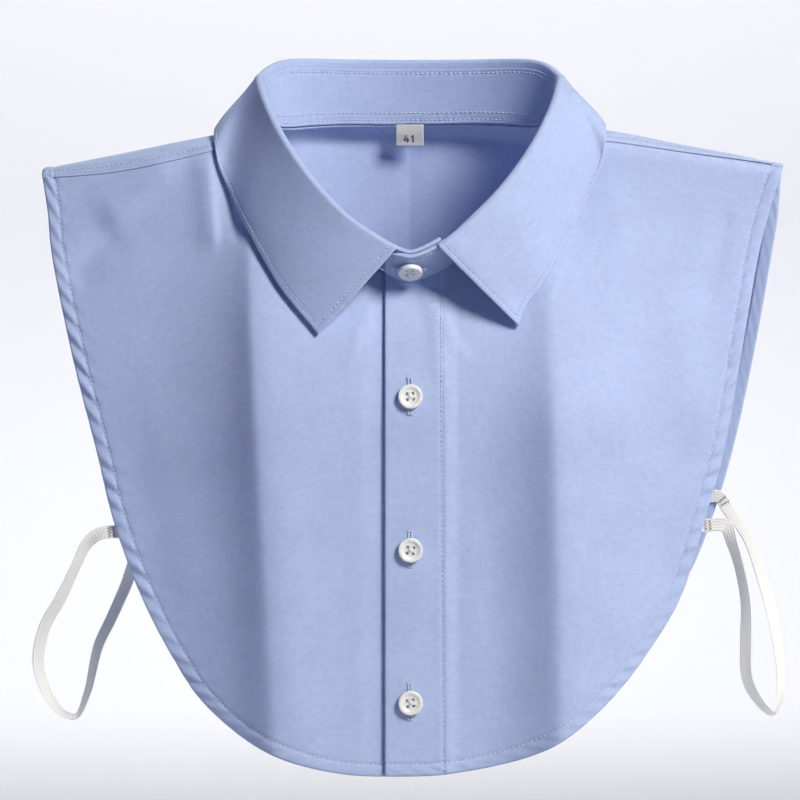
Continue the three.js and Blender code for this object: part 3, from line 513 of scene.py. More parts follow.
def outline_curve(side, is_front):
    """Side edge and hem on one side as (x, z), from the tip to the middle."""
    length = FRONT_LENGTH if is_front else BACK_LENGTH
    column = f"{'left' if side < 0 else 'right'}_{'front' if is_front else 'back'}"
    points = [(side * HALF_WIDTH * w, -length * d) for w, d in zip(OUTLINE[column], OUTLINE["down"])]
    tip = skin(*seam_place(side, 1.0, 0.0))
    low = points[-1]
    points = [(tip[0], tip[2]), *points, (MIDDLE, -length), (2 * MIDDLE - low[0], low[1])]
    return catmull_rom(points, 700)


def hem_height(points, x):
    side = 1 if points[0][0] > 0 else -1
    order = np.argsort(side * points[:, 0])
    lower = points[order]
    keep = lower[:, 1] < -100
    return np.interp(side * np.asarray(x), side * lower[keep][:, 0], lower[keep][:, 1])


# Material nodes
def nodes_of(name):
    material = bpy.data.materials.new(name)
    material.use_nodes = True
    tree = material.node_tree
    return material, tree, tree.nodes["Principled BSDF"]


def node(tree, kind, inputs=(), **settings):
    made = tree.nodes.new(kind)
    for key, value in settings.items():
        setattr(made, key, value)
    for key, value in dict(inputs).items():
        socket = made.inputs[key]
        if isinstance(value, bpy.types.NodeSocket):
            tree.links.new(value, socket)
        else:
            socket.default_value = value
    return made


def blend_colors(tree, share, a, b, **settings):
    """A colour between two others, each a tuple or a socket."""
    inputs = {0: share, 6: a, 7: b}
    return node(tree, "ShaderNodeMix", inputs, data_type="RGBA", **settings).outputs[2]


def math_node(tree, operation, *values, **settings):
    inputs = enumerate(values)
    return node(tree, "ShaderNodeMath", inputs, operation=operation, **settings).outputs[0]


def sine(tree, socket, period):
    return math_node(tree, "SINE", math_node(tree, "MULTIPLY", socket, 2 * math.pi / period))


def ranged(tree, socket, low, high, to_low, to_high):
    inputs = {"Value": socket, "From Min": low, "From Max": high, "To Min": to_low, "To Max": to_high}
    return node(tree, "ShaderNodeMapRange", inputs).outputs[0]


def scaled(tree, place, *scale):
    return node(tree, "ShaderNodeMapping", {"Vector": place, "Scale": scale}).outputs[0]


def noise(tree, place, scale, detail, **inputs):
    inputs = {"Vector": place, "Scale": scale, "Detail": detail, **inputs}
    return node(tree, "ShaderNodeTexNoise", inputs).outputs["Fac"]


def cloth_place(tree):
    """Place on the flat cloth in millimetres, with its parts across and along."""
    uv = node(tree, "ShaderNodeUVMap", uv_map="cloth").outputs[0]
    place = scaled(tree, uv, 1000, 1000, 1000)
    split = node(tree, "ShaderNodeSeparateXYZ", {0: place}).outputs
    return place, split[0], split[1]


def dress(tree, shader, color, constants, bump=None):
    """Colour, constant numbers and a bump, given as strength, distance and height."""
    tree.links.new(color, shader.inputs["Base Color"])
    for name, value in constants.items():
        shader.inputs[name].default_value = value
    if bump:
        bumped = node(tree, "ShaderNodeBump", dict(zip(("Strength", "Distance", "Height"), bump)))
        tree.links.new(bumped.outputs[0], shader.inputs["Normal"])


def cotton(name, blue, pale, weave=0.42):
    """Chambray: blue warp, white weft, slubs along the weft and a slow change of tone."""
    material, tree, shader = nodes_of(name)
    place, across, along = cloth_place(tree)
    over = math_node(tree, "MULTIPLY", sine(tree, across, weave), sine(tree, along, weave))
    slub = noise(tree, scaled(tree, place, 0.11, 1.7, 1), 1.0, 3.0, Roughness=0.65)
    streak = noise(tree, scaled(tree, place, 1.5, 0.07, 1), 1.0, 2.0, Roughness=0.6)
    mottle = noise(tree, place, 0.32, 3.0, Roughness=0.6)
    cloud = noise(tree, place, 0.035, 3.0, Roughness=0.55)
    share = ranged(tree, over, -1, 1, 0.38, 0.62)
    for socket, size in ((slub, 0.3), (streak, 0.12), (mottle, 0.26)):
        shifted = ranged(tree, socket, 0.25, 0.75, -size / 2, size / 2)
        share = math_node(tree, "ADD", share, shifted, use_clamp=True)
    base = blend_colors(tree, share, (*blue, 1), (*pale, 1))
    tone = ranged(tree, cloud, 0.3, 0.7, 0.955, 1.03)
    grey = node(tree, "ShaderNodeCombineColor", {0: tone, 1: tone, 2: tone}).outputs[0]
    shade = blend_colors(tree, 1.0, base, grey, blend_type="MULTIPLY")
    height = math_node(tree, "MULTIPLY_ADD", over, 0.5, ranged(tree, slub, 0.2, 0.8, 0.0, 0.9))
    constants = {
        "Roughness": 0.86,
        "Specular IOR Level": 0.25,
        "Sheen Weight": 0.22,
        "Sheen Roughness": 0.5,
        "Sheen Tint": (0.8, 0.88, 1.0, 1.0),
    }
    dress(tree, shader, shade, constants, bump=(0.22, 0.0002, height))
    return material


def thread(name, color):
    """Sewing thread: a fine twist and a slight sheen."""
    material, tree, shader = nodes_of(name)
    place = node(tree, "ShaderNodeTexCoord").outputs["Object"]
    twist = noise(tree, place, 2600.0, 2.0)
    dark = tuple(c * 0.72 for c in color)
    tinted = blend_colors(tree, twist, (*dark, 1), (*color, 1))
    dress(tree, shader, tinted, {"Roughness": 0.55, "Sheen Weight": 0.3}, bump=(0.3, 0.0001, twist))
    return material


def pearl(name):
    """Resin button: milky with faint cloudy bands."""
    material, tree, shader = nodes_of(name)
    place = node(tree, "ShaderNodeTexCoord").outputs["Object"]
    bands = noise(tree, place, 210.0, 3.0, Distortion=1.6)
    milky = blend_colors(tree, bands, (0.66, 0.7, 0.76, 1), (0.9, 0.91, 0.93, 1))
    rough = ranged(tree, noise(tree, place, 900.0, 2.0), 0, 1, 0.16, 0.34)
    tree.links.new(rough, shader.inputs["Roughness"])
    constants = {
        "Subsurface Weight": 0.15,
        "Subsurface Scale": 0.002,
        "Coat Weight": 0.35,
        "Coat Roughness": 0.12,
    }
    dress(tree, shader, milky, constants)
    return material


def ribbed(name, pale, dark, pitch, cross_pitch):
    """Woven tape or elastic: ribs across its width and a fine cross weave, with painted shade in the rib
    hollows.
    """
    material, tree, shader = nodes_of(name)
    place, across, along = cloth_place(tree)
    both = math_node(tree, "MULTIPLY_ADD", sine(tree, along, cross_pitch), 0.4, sine(tree, across, pitch))
    # The colour follows the rib height: pale on the rib tops, with painted shade darkening the hollows
    # between them.
    share = ranged(tree, both, -1.4, 1.4, 0.1, 0.8)
    dirt = noise(tree, place, 0.3, 4.0)
    share = math_node(tree, "MULTIPLY_ADD", dirt, 0.35, share, use_clamp=True)
    tinted = blend_colors(tree, share, (*dark, 1), (*pale, 1))
    dress(tree, shader, tinted, {"Roughness": 0.75, "Sheen Weight": 0.2}, bump=(0.25, 0.0003, both))
    return material


chambray = cotton("chambray", (0.275, 0.385, 0.76), (0.52, 0.62, 0.87))
thread_blue = thread("thread_blue", (0.55, 0.65, 0.9))
thread_white = thread("thread_white", (0.82, 0.86, 0.92))
thread_grey = thread("thread_grey", (0.3, 0.3, 0.33))
thread_ink = thread("thread_ink", (0.09, 0.1, 0.14))
resin = pearl("button_resin")
elastic = ribbed("elastic", (0.84, 0.86, 0.9), (0.68, 0.7, 0.74), 1.2, 1.5)
tape = ribbed("label_tape", (0.62, 0.63, 0.68), (0.46, 0.47, 0.53), 0.5, 0.4)


# Meshes
def smooth_mesh(name, points, faces, material):
    """A smooth mesh from points in metres."""
    mesh = bpy.data.meshes.new(name)
    mesh.from_pydata(points, [], faces)
    mesh.polygons.foreach_set("use_smooth", [True] * len(mesh.polygons))
    mesh.materials.append(material)
    mesh.update()
    return mesh


def add_object(name, data):
    added = bpy.data.objects.new(name, data)
    bpy.context.scene.collection.objects.link(added)
    return added


def add_piece(name, mesh):
    piece = add_object(name, mesh)
    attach(piece, BODY)
    return piece


def grid_faces(count_r, count_c):
    """Faces of a closed sheet: outer points first, then inner ones."""
    index = np.arange(count_r * count_c).reshape(count_r, count_c)
    n = count_r * count_c
    a, b, c, d = index[:-1, :-1], index[1:, :-1], index[1:, 1:], index[:-1, 1:]
    front = np.stack([a, b, c, d], -1).reshape(-1, 4)
    back = np.stack([n + a, n + d, n + c, n + b], -1).reshape(-1, 4)

    def strip(line, other):
        return np.stack([line[:-1], other[:-1], other[1:], line[1:]], -1)

    left, right, top, bottom = index[:, 0], index[:, -1], index[0], index[-1]
    return np.concatenate([
        front, back,
        strip(left, n + left),
        strip(n + right, right),
        strip(n + top, top),
        strip(bottom, n + bottom),
    ])


def grid_normals(middle):
    down, across = np.gradient(middle, axis=0), np.gradient(middle, axis=1)
    return unit(np.cross(down, across))


def cloth_sheet(name, middle, outer, inner, uvs, material, slot, replaced):
    """A closed sheet round a grid of middle points, with heights of both faces over it."""
    normals = grid_normals(middle)
    face = middle + normals * outer[..., None]
    lining = middle + normals * inner[..., None]
    points = np.concatenate([face.reshape(-1, 3), lining.reshape(-1, 3)]) * MM
    mesh = smooth_mesh(name, points.tolist(), grid_faces(*middle.shape[:2]).tolist(), material)
    layer = mesh.uv_layers.new(name="cloth")
    corners = np.empty(len(mesh.loops), np.int64)
    mesh.loops.foreach_get("vertex_index", corners)
    both = np.concatenate([uvs.reshape(-1, 2)] * 2)
    layer.data.foreach_set("uv", (both[corners] * MM).ravel())
    piece = add_piece(name, mesh)
    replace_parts(piece, replaced)
    return dict(piece=piece, face=face, lining=lining, normals=grid_normals(face))


def on_grid(grid, r, c):
    """Points of a grid at fractional rows and columns."""
    r, c = np.broadcast_arrays(np.asarray(r, float), np.asarray(c, float))
    r0 = np.clip(r.astype(int), 0, grid.shape[0] - 2)
    c0 = np.clip(c.astype(int), 0, grid.shape[1] - 2)
    fr, fc = (r - r0)[..., None], (c - c0)[..., None]
    top = grid[r0, c0] * (1 - fc) + grid[r0, c0 + 1] * fc
    low = grid[r0 + 1, c0] * (1 - fc) + grid[r0 + 1, c0 + 1] * fc
    return top * (1 - fr) + low * fr


def edge_round(distance, radius):
    """How full a wall is near its edge."""
    t = np.clip(distance / radius, 0, 1)
    return np.sqrt(np.maximum(1 - (1 - t) ** 2, 0.0))


def closed_faces(outer, inner, full):
    """Both faces drawn together where the sheet isn't full."""
    centre = (outer + inner) / 2
    return centre + (outer - centre) * full, centre + (inner - centre) * full


def groove(distance, at, width):
    return np.exp(-(((distance - at) / width) ** 2))


# Stitches
class Stitching:
    """Rows of short arched threads, gathered into one mesh."""

    def __init__(self):
        self.points, self.faces, self.count = [], [], 0

    def bar(self, a, b, up, radius, arch=0.0, sides=6, steps=4):
        """One thread from a to b, arched along up, with closed round ends."""
        along = b - a
        length = np.linalg.norm(along)
        along = along / max(length, 1e-9)
        up = unit(up - along * np.dot(up, along))
        side = np.cross(along, up)
        ring = np.linspace(0, 2 * math.pi, sides, endpoint=False)
        shares = np.linspace(0, 1, steps + 1)
        wide = radius * np.sqrt(np.maximum(1 - (2 * shares - 1) ** 6, 0.12))
        centre = a + np.outer(shares, b - a) + np.outer(arch * np.sin(math.pi * shares), up)
        circle = np.cos(ring)[None, :, None] * side + np.sin(ring)[None, :, None] * up
        rings = centre[:, None] + wide[:, None, None] * circle
        base = self.count
        self.points.append(rings.reshape(-1, 3))
        for i in range(steps):
            for k in range(sides):
                j = (k + 1) % sides
                p, q = base + i * sides, base + (i + 1) * sides
                self.faces.append((p + k, p + j, q + j, q + k))
        for start, order in ((base, -1), (base + steps * sides, 1)):
            cap = [start + k for k in range(sides)][::order]
            for k in range(1, sides - 1):
                self.faces.append((cap[0], cap[k], cap[k + 1]))
        self.count += (steps + 1) * sides

    def row(self, points, normals, lift):
        far = lengths_of(points)
        count = max(int(far[-1] / STITCH_PITCH), 1)
        starts = np.arange(count) * (far[-1] / count)

        def at(s, values):
            return np.stack([np.interp(s, far, values[:, k]) for k in range(3)], -1)

        ends = starts + STITCH_SHARE * far[-1] / count
        a, b = at(starts, points), at(ends, points)
        up = unit(at((starts + ends) / 2, normals))
        middle = at((starts + ends) / 2, points)
        for i in range(count):
            shift = up[i] * (lift - STITCH_ARCH)
            bulge = float(np.dot(middle[i] - (a[i] + b[i]) / 2, up[i]))
            self.bar(a[i] + shift, b[i] + shift, up[i], STITCH_RADIUS, arch=STITCH_ARCH + bulge)

    def piece(self, name, material, slot):
        points = (np.concatenate(self.points) * MM).tolist()
        return add_piece(name, smooth_mesh(name, points, self.faces, material))


# Panels
FRONT_COLUMNS, FRONT_ROWS = 225, 120
BACK_COLUMNS, BACK_ROWS = 300, 112
STRIP_COLUMNS = 20
SEAM_COLUMNS = 30  # those that close up on the shoulder seam
HEM_ROPES = {-1: 12.0, 1: 11.0}  # length of one twist of the front's hem
BACK_ROPE = 11.0
BACK_ROPING = 0.42
GATHER_HEIGHT = 0.16
GATHER_PITCH = 7.3
GATHER_REACH = 14.0
HEM_SWELL = 0.28
HEM_FOLD = 0.9  # how much thicker the folded hem is
HEM_SLANT = 2.2  # how far its twists lean
SEAM_DEPTH = 0.34
PUCKER_REACH = 4.5  # past the hem's stitches
PUCKER_SHARE = 0.25  # of the roping's height
# Distances of the last rows from the edge
HEM_STEPS = np.array([0.0, 0.12, 0.35, 0.7, 1.2, 1.9, 2.7, 3.5, 4.3, 4.9, 5.3, 5.7, 6.1, 6.6, 7.4, 8.4])


def ray_grid(tops, bottoms, count, bows):
    """Places from the neck to the outline as arrays [row, column], with each one's distance to the edge."""
    ray = bottoms - tops
    length = np.linalg.norm(ray, axis=1)
    edge = unit(np.gradient(bottoms, axis=0))
    cross = np.abs(ray[:, 0] * edge[:, 1] - ray[:, 1] * edge[:, 0])
    cross = np.maximum(cross, 2 * HEM_WIDTH)
    cross[0] = cross[1]
    share = 1 / np.where(np.arange(len(tops)) == len(tops) - 1, length, cross)
    far = HEM_STEPS[::-1]
    inner = 1 - far[0] * share
    plain = np.linspace(0, 1, count + 1)[:-1, None] * inner
    v = np.concatenate([plain, 1 - far[:, None] * share])
    place = tops[None] + (bottoms - tops)[None] * v[..., None]
    place[..., 1] -= bows * np.sin(math.pi * v)
    return place, (1 - v) / share


def hem_faces(edge, along, strength, rope, doubled=0.0, strip=(FACE, FACE - CLOTH)):
    """Outer and inner heights of the cloth, with a rolled and roped hem and a doubled strip."""
    inside = edge < HEM_WIDTH
    body = np.sin(math.pi * np.clip(edge / HEM_WIDTH, 0, 1))
    swell = 0.45 + 0.55 * np.sin(along / 23.0 + 1.1 * np.sin(along / 37.0)) ** 2
    turn = 2 * math.pi * (along + HEM_SLANT * edge) / rope + 1.2 * np.sin(along / 19.0)
    roping = strength * swell * np.sin(turn + 0.6 * np.sin(turn))
    beyond = np.exp(-((edge - HEM_WIDTH) / PUCKER_REACH) ** 2) * PUCKER_SHARE
    fade = np.where(inside, body**0.5, beyond)
    seam = groove(edge, HEM_WIDTH, 0.55)
    turned = smooth((HEM_WIDTH + 0.3 - edge) / 0.6)
    outer = mix(FACE, strip[0], doubled) + HEM_SWELL * body * inside + roping * fade - SEAM_DEPTH * seam
    inner = FACE - CLOTH - HEM_FOLD * turned + 0.6 * roping * fade + 0.1 * seam
    inner = mix(inner, strip[1], doubled)
    return closed_faces(outer, inner, edge_round(edge, 0.9))


def as_places(pairs):
    return np.stack(np.broadcast_arrays(*pairs), -1)


def outline_places(side, is_front, from_x, count):
    """The outline cut evenly, from a line down the front out to the tip."""
    dense = outline_curve(side, is_front)
    kept = dense[side * (dense[:, 0] - from_x) > 0][::-1]
    kept = np.concatenate([[[from_x, float(hem_height(dense, from_x))]], kept])
    far = lengths_of(kept)
    even = np.linspace(0, far[-1], count + 1)
    x, z = (np.interp(even, far, kept[:, k]) for k in (0, 1))
    return as_places((x, run_at(x, z, np.full(x.shape, is_front))))


def front_panel(name, side, open_x, strip_x, strip_thickness, strip_lift, sunk, replaced):
    """One front panel with a doubled strip down its open edge."""
    bow = FRONT_ROUND * SEAMS[side]["bow"]
    outline = outline_curve(side, True)
    width = abs(strip_x - open_x)
    near_open = [0, 0.1, 0.3, 0.7, 1.4]
    near_seam = [width - 1.4, width - 0.8, width - 0.3, width]
    strip_steps = np.concatenate([near_open, np.linspace(2.4, width - 2.4, STRIP_COLUMNS), near_seam])
    strip_xs = open_x + side * strip_steps
    main_x = strip_x + side * 0.6
    turn = side * math.radians(180 - SEAM_NECK_TURN)
    angles = even_params(neck_point, front_angle(NECK_HALF_WIDTH, main_x), turn, FRONT_COLUMNS)
    strip_angles = [front_angle(NECK_HALF_WIDTH, x if abs(x) > 1e-6 else 1e-6) for x in strip_xs]
    strip_runs = run_at(strip_xs, hem_height(outline, strip_xs), np.ones(strip_xs.shape, bool))
    tops = np.concatenate([as_places(neck_place(np.array(strip_angles))), as_places(neck_place(angles))])
    main_bottoms = outline_places(side, True, main_x, FRONT_COLUMNS)
    bottoms = np.concatenate([as_places((strip_xs, strip_runs)), main_bottoms])
    total = len(tops)
    # The last columns close up on the shoulder seam and pass under the back's edge
    ease = smooth((np.arange(total) - (total - SEAM_COLUMNS)) / (SEAM_COLUMNS - 1))
    tops = tops + ease[:, None] * (np.array(seam_place(side, 0.0, -1.0), float) - tops[-1])
    bottoms[-1] = seam_place(side, 1.0, -0.2)
    bows = bow * (np.arange(total) / (total - 1)) ** 8
    place, edge = ray_grid(tops, bottoms, FRONT_ROWS, bows)
    x, run = place[..., 0], place[..., 1]
    open_far = np.abs(x - open_x)
    is_strip = np.zeros(x.shape, bool)
    is_strip[:, : len(strip_xs)] = True
    ease_width = LAP_EASE if sunk else 7.0
    doubled = np.where(is_strip, 1.0, 1 - smooth((open_far - width) / ease_width))
    strip_heights = (strip_lift + strip_thickness / 2, strip_lift - strip_thickness / 2 + 0.05)
    along = np.broadcast_to(lengths_of(bottoms), x.shape)
    strength = 0.24 + 0.7 * smooth((along - 95.0) / 50.0)
    outer, inner = hem_faces(edge, along, strength, HEM_ROPES[side], doubled, strip_heights)
    # A line of stitches runs down the placket
    if not sunk:
        from_line = x - placket_line(run)
        outer = outer - 0.32 * groove(from_line, 0.0, 0.6) + 0.12 * groove(from_line, -1.6, 1.0)
        outer = outer + 0.12 * groove(from_line, 1.6, 1.0)
    # The strip closes in a soft fold at the open edge
    outer, inner = closed_faces(outer, inner, edge_round(open_far, 0.8))
    # Gathered drape under the stand
    neck_far = np.abs(run - tops[:, 1][None])
    gather = GATHER_HEIGHT * np.sin(2 * math.pi * x / GATHER_PITCH + 0.6 * side)
    gather = gather * np.exp(-neck_far / GATHER_REACH) * (1 - smooth((np.abs(x) - 55) / 10)) * (1 - doubled)
    middle = skin(x, run)
    order = slice(None, None, -1) if side < 0 else slice(None)
    grids = (middle, outer + gather, inner + gather, np.stack([x, -run], -1))
    grids = [grid[:, order] for grid in grids]
    sheet = cloth_sheet(name, *grids, chambray, "chambray", replaced)
    return dict(sheet, x=x[:, order], run=run[:, order])


def placket_line(run):
    """Where the line of stitches down the placket runs, across the front."""
    return mix(13.6, 15.3, np.clip((np.abs(run) - 60) / 260, 0, 1))


placket = front_panel(
    "front_cloth_placket", 1, -PLACKET_EDGE, PLACKET_WIDTH - PLACKET_EDGE,
    PLACKET_THICKNESS, PLACKET_LIFT, False, "front_panel_placket",
)
underlap = front_panel(
    "front_cloth_underlap", -1, UNDERLAP_EDGE, UNDERLAP_EDGE - UNDERLAP_WIDTH,
    UNDERLAP_THICKNESS, UNDERLAP_LIFT, True, "front_panel_underlap",
)


def back_panel():
    turn = math.radians(180 - SEAM_NECK_TURN)
    columns = BACK_COLUMNS
    half = columns // 2
    tops = as_places(neck_place(even_params(neck_point, turn, -turn, columns)))

    def edge_places(side):
        tip = np.array(seam_place(side, 1.0, SEAM_LAP * 0.3), float)
        ridge = outline_places(side, False, MIDDLE, 400)[::-1]
        turned = tip + (ridge[0] - tip) * np.linspace(0, 1, 24, endpoint=False)[:, None]
        path = np.concatenate([turned, ridge])
        far = lengths_of(path)
        at = far[-1] * (np.arange(half + 1) / half) ** 1.25
        return np.stack([np.interp(at, far, path[:, k]) for k in (0, 1)], -1)

    bottoms = np.concatenate([edge_places(1), edge_places(-1)[::-1][1:]])
    c = np.arange(columns + 1)
    for side, distance in ((1, c), (-1, columns - c)):
        ease = 1 - smooth(distance / 24.0)
        top = np.array(seam_place(side, 0.0, SEAM_LAP), float)
        tops = tops + ease[:, None] * (top - tops[0 if side > 0 else -1])
    bows = FRONT_ROUND * (SEAMS[1]["bow"] * (1 - c / columns) ** 12 + SEAMS[-1]["bow"] * (c / columns) ** 12)
    place, edge = ray_grid(tops, bottoms, BACK_ROWS, bows)
    edge[:, 0], edge[:, -1] = edge[:, 1], edge[:, -2]
    x, run = place[..., 0], place[..., 1]
    along = np.broadcast_to(lengths_of(bottoms), x.shape)
    outer, inner = hem_faces(edge, along, BACK_ROPING, BACK_ROPE)
    # The shoulder seams lap over the front panels and close in a folded edge
    middle = skin(x, run)
    from_right = lengths_of(middle, axis=1)
    from_left = from_right[:, -1:] - from_right
    seam_far = np.minimum(from_left, from_right)
    lap = 1 - smooth((seam_far - 4.2) / 3.0)
    outer = outer + 0.75 * lap - 0.3 * groove(seam_far, SEAM_STITCH, 0.6)
    inner = inner + 0.9 * lap
    outer, inner = closed_faces(outer, inner, edge_round(seam_far, 0.7))
    uvs = np.stack([x, run], -1)
    sheet = cloth_sheet("back_cloth", middle, outer, inner, uvs, chambray, "chambray", "back_panel")
    return dict(sheet, from_right=from_right)


back = back_panel()


# Collar stand
STAND_COLUMNS, STAND_ROWS = 430, 17
STAND_LENGTH, STAND_HEIGHT = 450.0, 26.0  # near enough to share out its columns and rows


def stand_frame(angle):
    """Up and out directions of the stand by the angle round from the back."""
    step = 0.01
    up = unit(fold_point(angle) - neck_point(angle))
    along = fold_point(angle + step) - fold_point(angle - step)
    return up, unit(np.cross(up, along))


def stand_layer(angle):
    """1 where the stand's outer end lies on top, -1 where its other end lies under it, else 0."""
    angle = np.asarray(angle, float)
    outer = front_angle(NECK_HALF_WIDTH, -STAND_OUTER_END) + 2 * math.pi
    lap_from = abs(front_angle(NECK_HALF_WIDTH, STAND_UNDER_END + 1))
    ease = math.radians(14)
    grown = smooth((np.abs(angle) - lap_from + ease) / ease)
    return np.where(np.abs(angle) > outer, np.sign(angle), np.sign(angle) * grown)


def leaf_edge(angle):
    """Lower edge of the collar leaf by the angle round from the back."""
    angle = np.atleast_1d(np.asarray(angle, float))
    result = np.empty(angle.shape + (3,))
    for is_left in (True, False):
        pick = (angle < 0) == is_left
        if not pick.any():
            continue
        side = -1 if is_left else 1
        start = -LEAF_LEFT_START if is_left else LEAF_RIGHT_START
        tip_x = LEAF_LEFT_TIP if is_left else LEAF_RIGHT_TIP
        tip_drop = LEAF_TIP_DROP * (1 if is_left else 0.94)
        turns = [180 - math.degrees(abs(front_angle(FOLD_HALF_WIDTH, start))), *LEAF_FRONT["turn"]]
        xs = [tip_x, *(LEAF_SPREAD * LEAF_FRONT["across"])]
        zs = [-tip_drop, *(FOLD_SIDE_HEIGHT * LEAF_FRONT["height"])]
        runs = run_at(side * np.array(xs), np.array(zs), np.ones(len(xs), bool))
        table = {
            "turn": np.array([*turns, *LEAF_BACK["turn"]]),
            "x": np.array([*xs, *(LEAF_SPREAD * LEAF_BACK["across"])]),
            "run": np.array([*runs, *(BACK_ROUND * LEAF_BACK["run"])]),
        }
        turn = 180 - np.degrees(np.abs(angle[pick]))
        x, run = side * read(table, "turn", "x", turn), read(table, "turn", "run", turn)
        normal = sum(skin_normal(x + shift, run) for shift in (-16.0, -8.0, 0.0, 8.0, 16.0))
        result[pick] = skin(x, run) + unit(normal) * LEAF_LIFT
    return result


LEFT_END = front_angle(FOLD_HALF_WIDTH, -LEAF_LEFT_START)
RIGHT_END = front_angle(FOLD_HALF_WIDTH, LEAF_RIGHT_START)


def stand_start(angle):
    """How far above the neck seam the stand starts, clear of the panels that it is sewn to."""
    up, out = stand_frame(angle)
    normal = skin_normal(*neck_place(angle))
    layer = stand_layer(angle)
    lapped = np.where(layer > 0, PLACKET_TOP, UNDERLAP_TOP)
    face = mix(FACE, lapped, np.abs(layer))
    tilt = np.sum(out * normal, -1)
    clear = face - LAYER_LIFT * layer * tilt + np.abs(tilt) * STAND_THICKNESS / 2
    return np.maximum(clear, 0.0) / np.sum(up * normal, -1) - 0.5


def collar_stand():
    under = front_angle(NECK_HALF_WIDTH, STAND_UNDER_END) - 2 * math.pi
    outer_end = front_angle(NECK_HALF_WIDTH, -STAND_OUTER_END) + 2 * math.pi
    shares = end_shares([0, 0.15, 0.4, 0.8, 1.3, 1.9, 2.6], 3.4, STAND_LENGTH, STAND_COLUMNS)
    angles = even_params(neck_point, under, outer_end, shares)
    low, high = neck_point(angles), fold_point(angles)
    height = np.linalg.norm(high - low, axis=-1)
    left = np.linalg.norm(low - low[-1], axis=-1)
    rounded = 0.45 + 0.55 * np.sqrt(np.maximum(1 - (1 - np.minimum(left / STAND_END_ROUND, 1)) ** 2, 0))
    top = np.where((angles > math.pi / 2) & (left < STAND_END_ROUND), rounded, 1.0)
    start = stand_start(angles) / height
    steps = end_shares([0, 0.12, 0.35, 0.7, 1.2, 1.8, 2.4, 3.0], 3.8, STAND_HEIGHT, STAND_ROWS)[::-1]
    v = start + (top - start) * steps[:, None]
    middle = low + (high - low) * v[..., None]
    layer = stand_layer(angles)
    edge_up = (top - v) * height
    edge_low = (v - start) * height
    far = lengths_of(low)[None]
    end_far = np.minimum(far, far[:, -1:] - far)
    full = np.minimum(edge_round(np.minimum(edge_low, end_far), 0.8), edge_round(edge_up, 0.35))
    stitched = groove(edge_low, STAND_STITCH, 0.6) + groove(edge_up, STAND_STITCH, 0.6) * 0.8
    pucker = np.sin(2 * math.pi * far / 4.3 + 1.4 * np.sin(far / 9.0)) * np.sin(far / 21.0) ** 2
    puff = 0.12 * np.sin(far / 6.1) * groove(edge_low, 4.0, 3.0)
    puff = puff + 0.11 * pucker * (groove(edge_low, 3.9, 2.2) + groove(edge_up, 2.6, 2.4))
    half = STAND_THICKNESS / 2
    outer = (half - 0.24 * stitched + puff) * full
    inner = -(half - 0.24 * stitched - puff) * full
    # Rows run down and columns to the right, as seen from outside
    order = slice(None, None, -1)
    normals = grid_normals(middle[:, order])
    middle = middle[:, order] + normals * (LAYER_LIFT * layer[order])[None, :, None]
    flat = np.broadcast_to(far[:, order], v.shape)
    uvs = np.stack([flat, (v * height)[:, order]], -1)
    grids = (middle, outer[:, order], inner[:, order], uvs)
    sheet = cloth_sheet("collar_stand_cloth", *grids, chambray, "chambray", "collar_stand")
    return dict(sheet, low=edge_low[:, order], up=edge_up[:, order])


stand = collar_stand()


# Collar leaf
LEAF_COLUMNS, LEAF_ROWS = 420, 30
LEAF_LENGTH = 590.0  # near enough to share out its columns
ROLL_STEPS = 10


def bezier(start, first, second, end, t):
    return (1 - t) ** 3 * start + 3 * (1 - t) ** 2 * t * first + 3 * (1 - t) * t**2 * second + t**3 * end


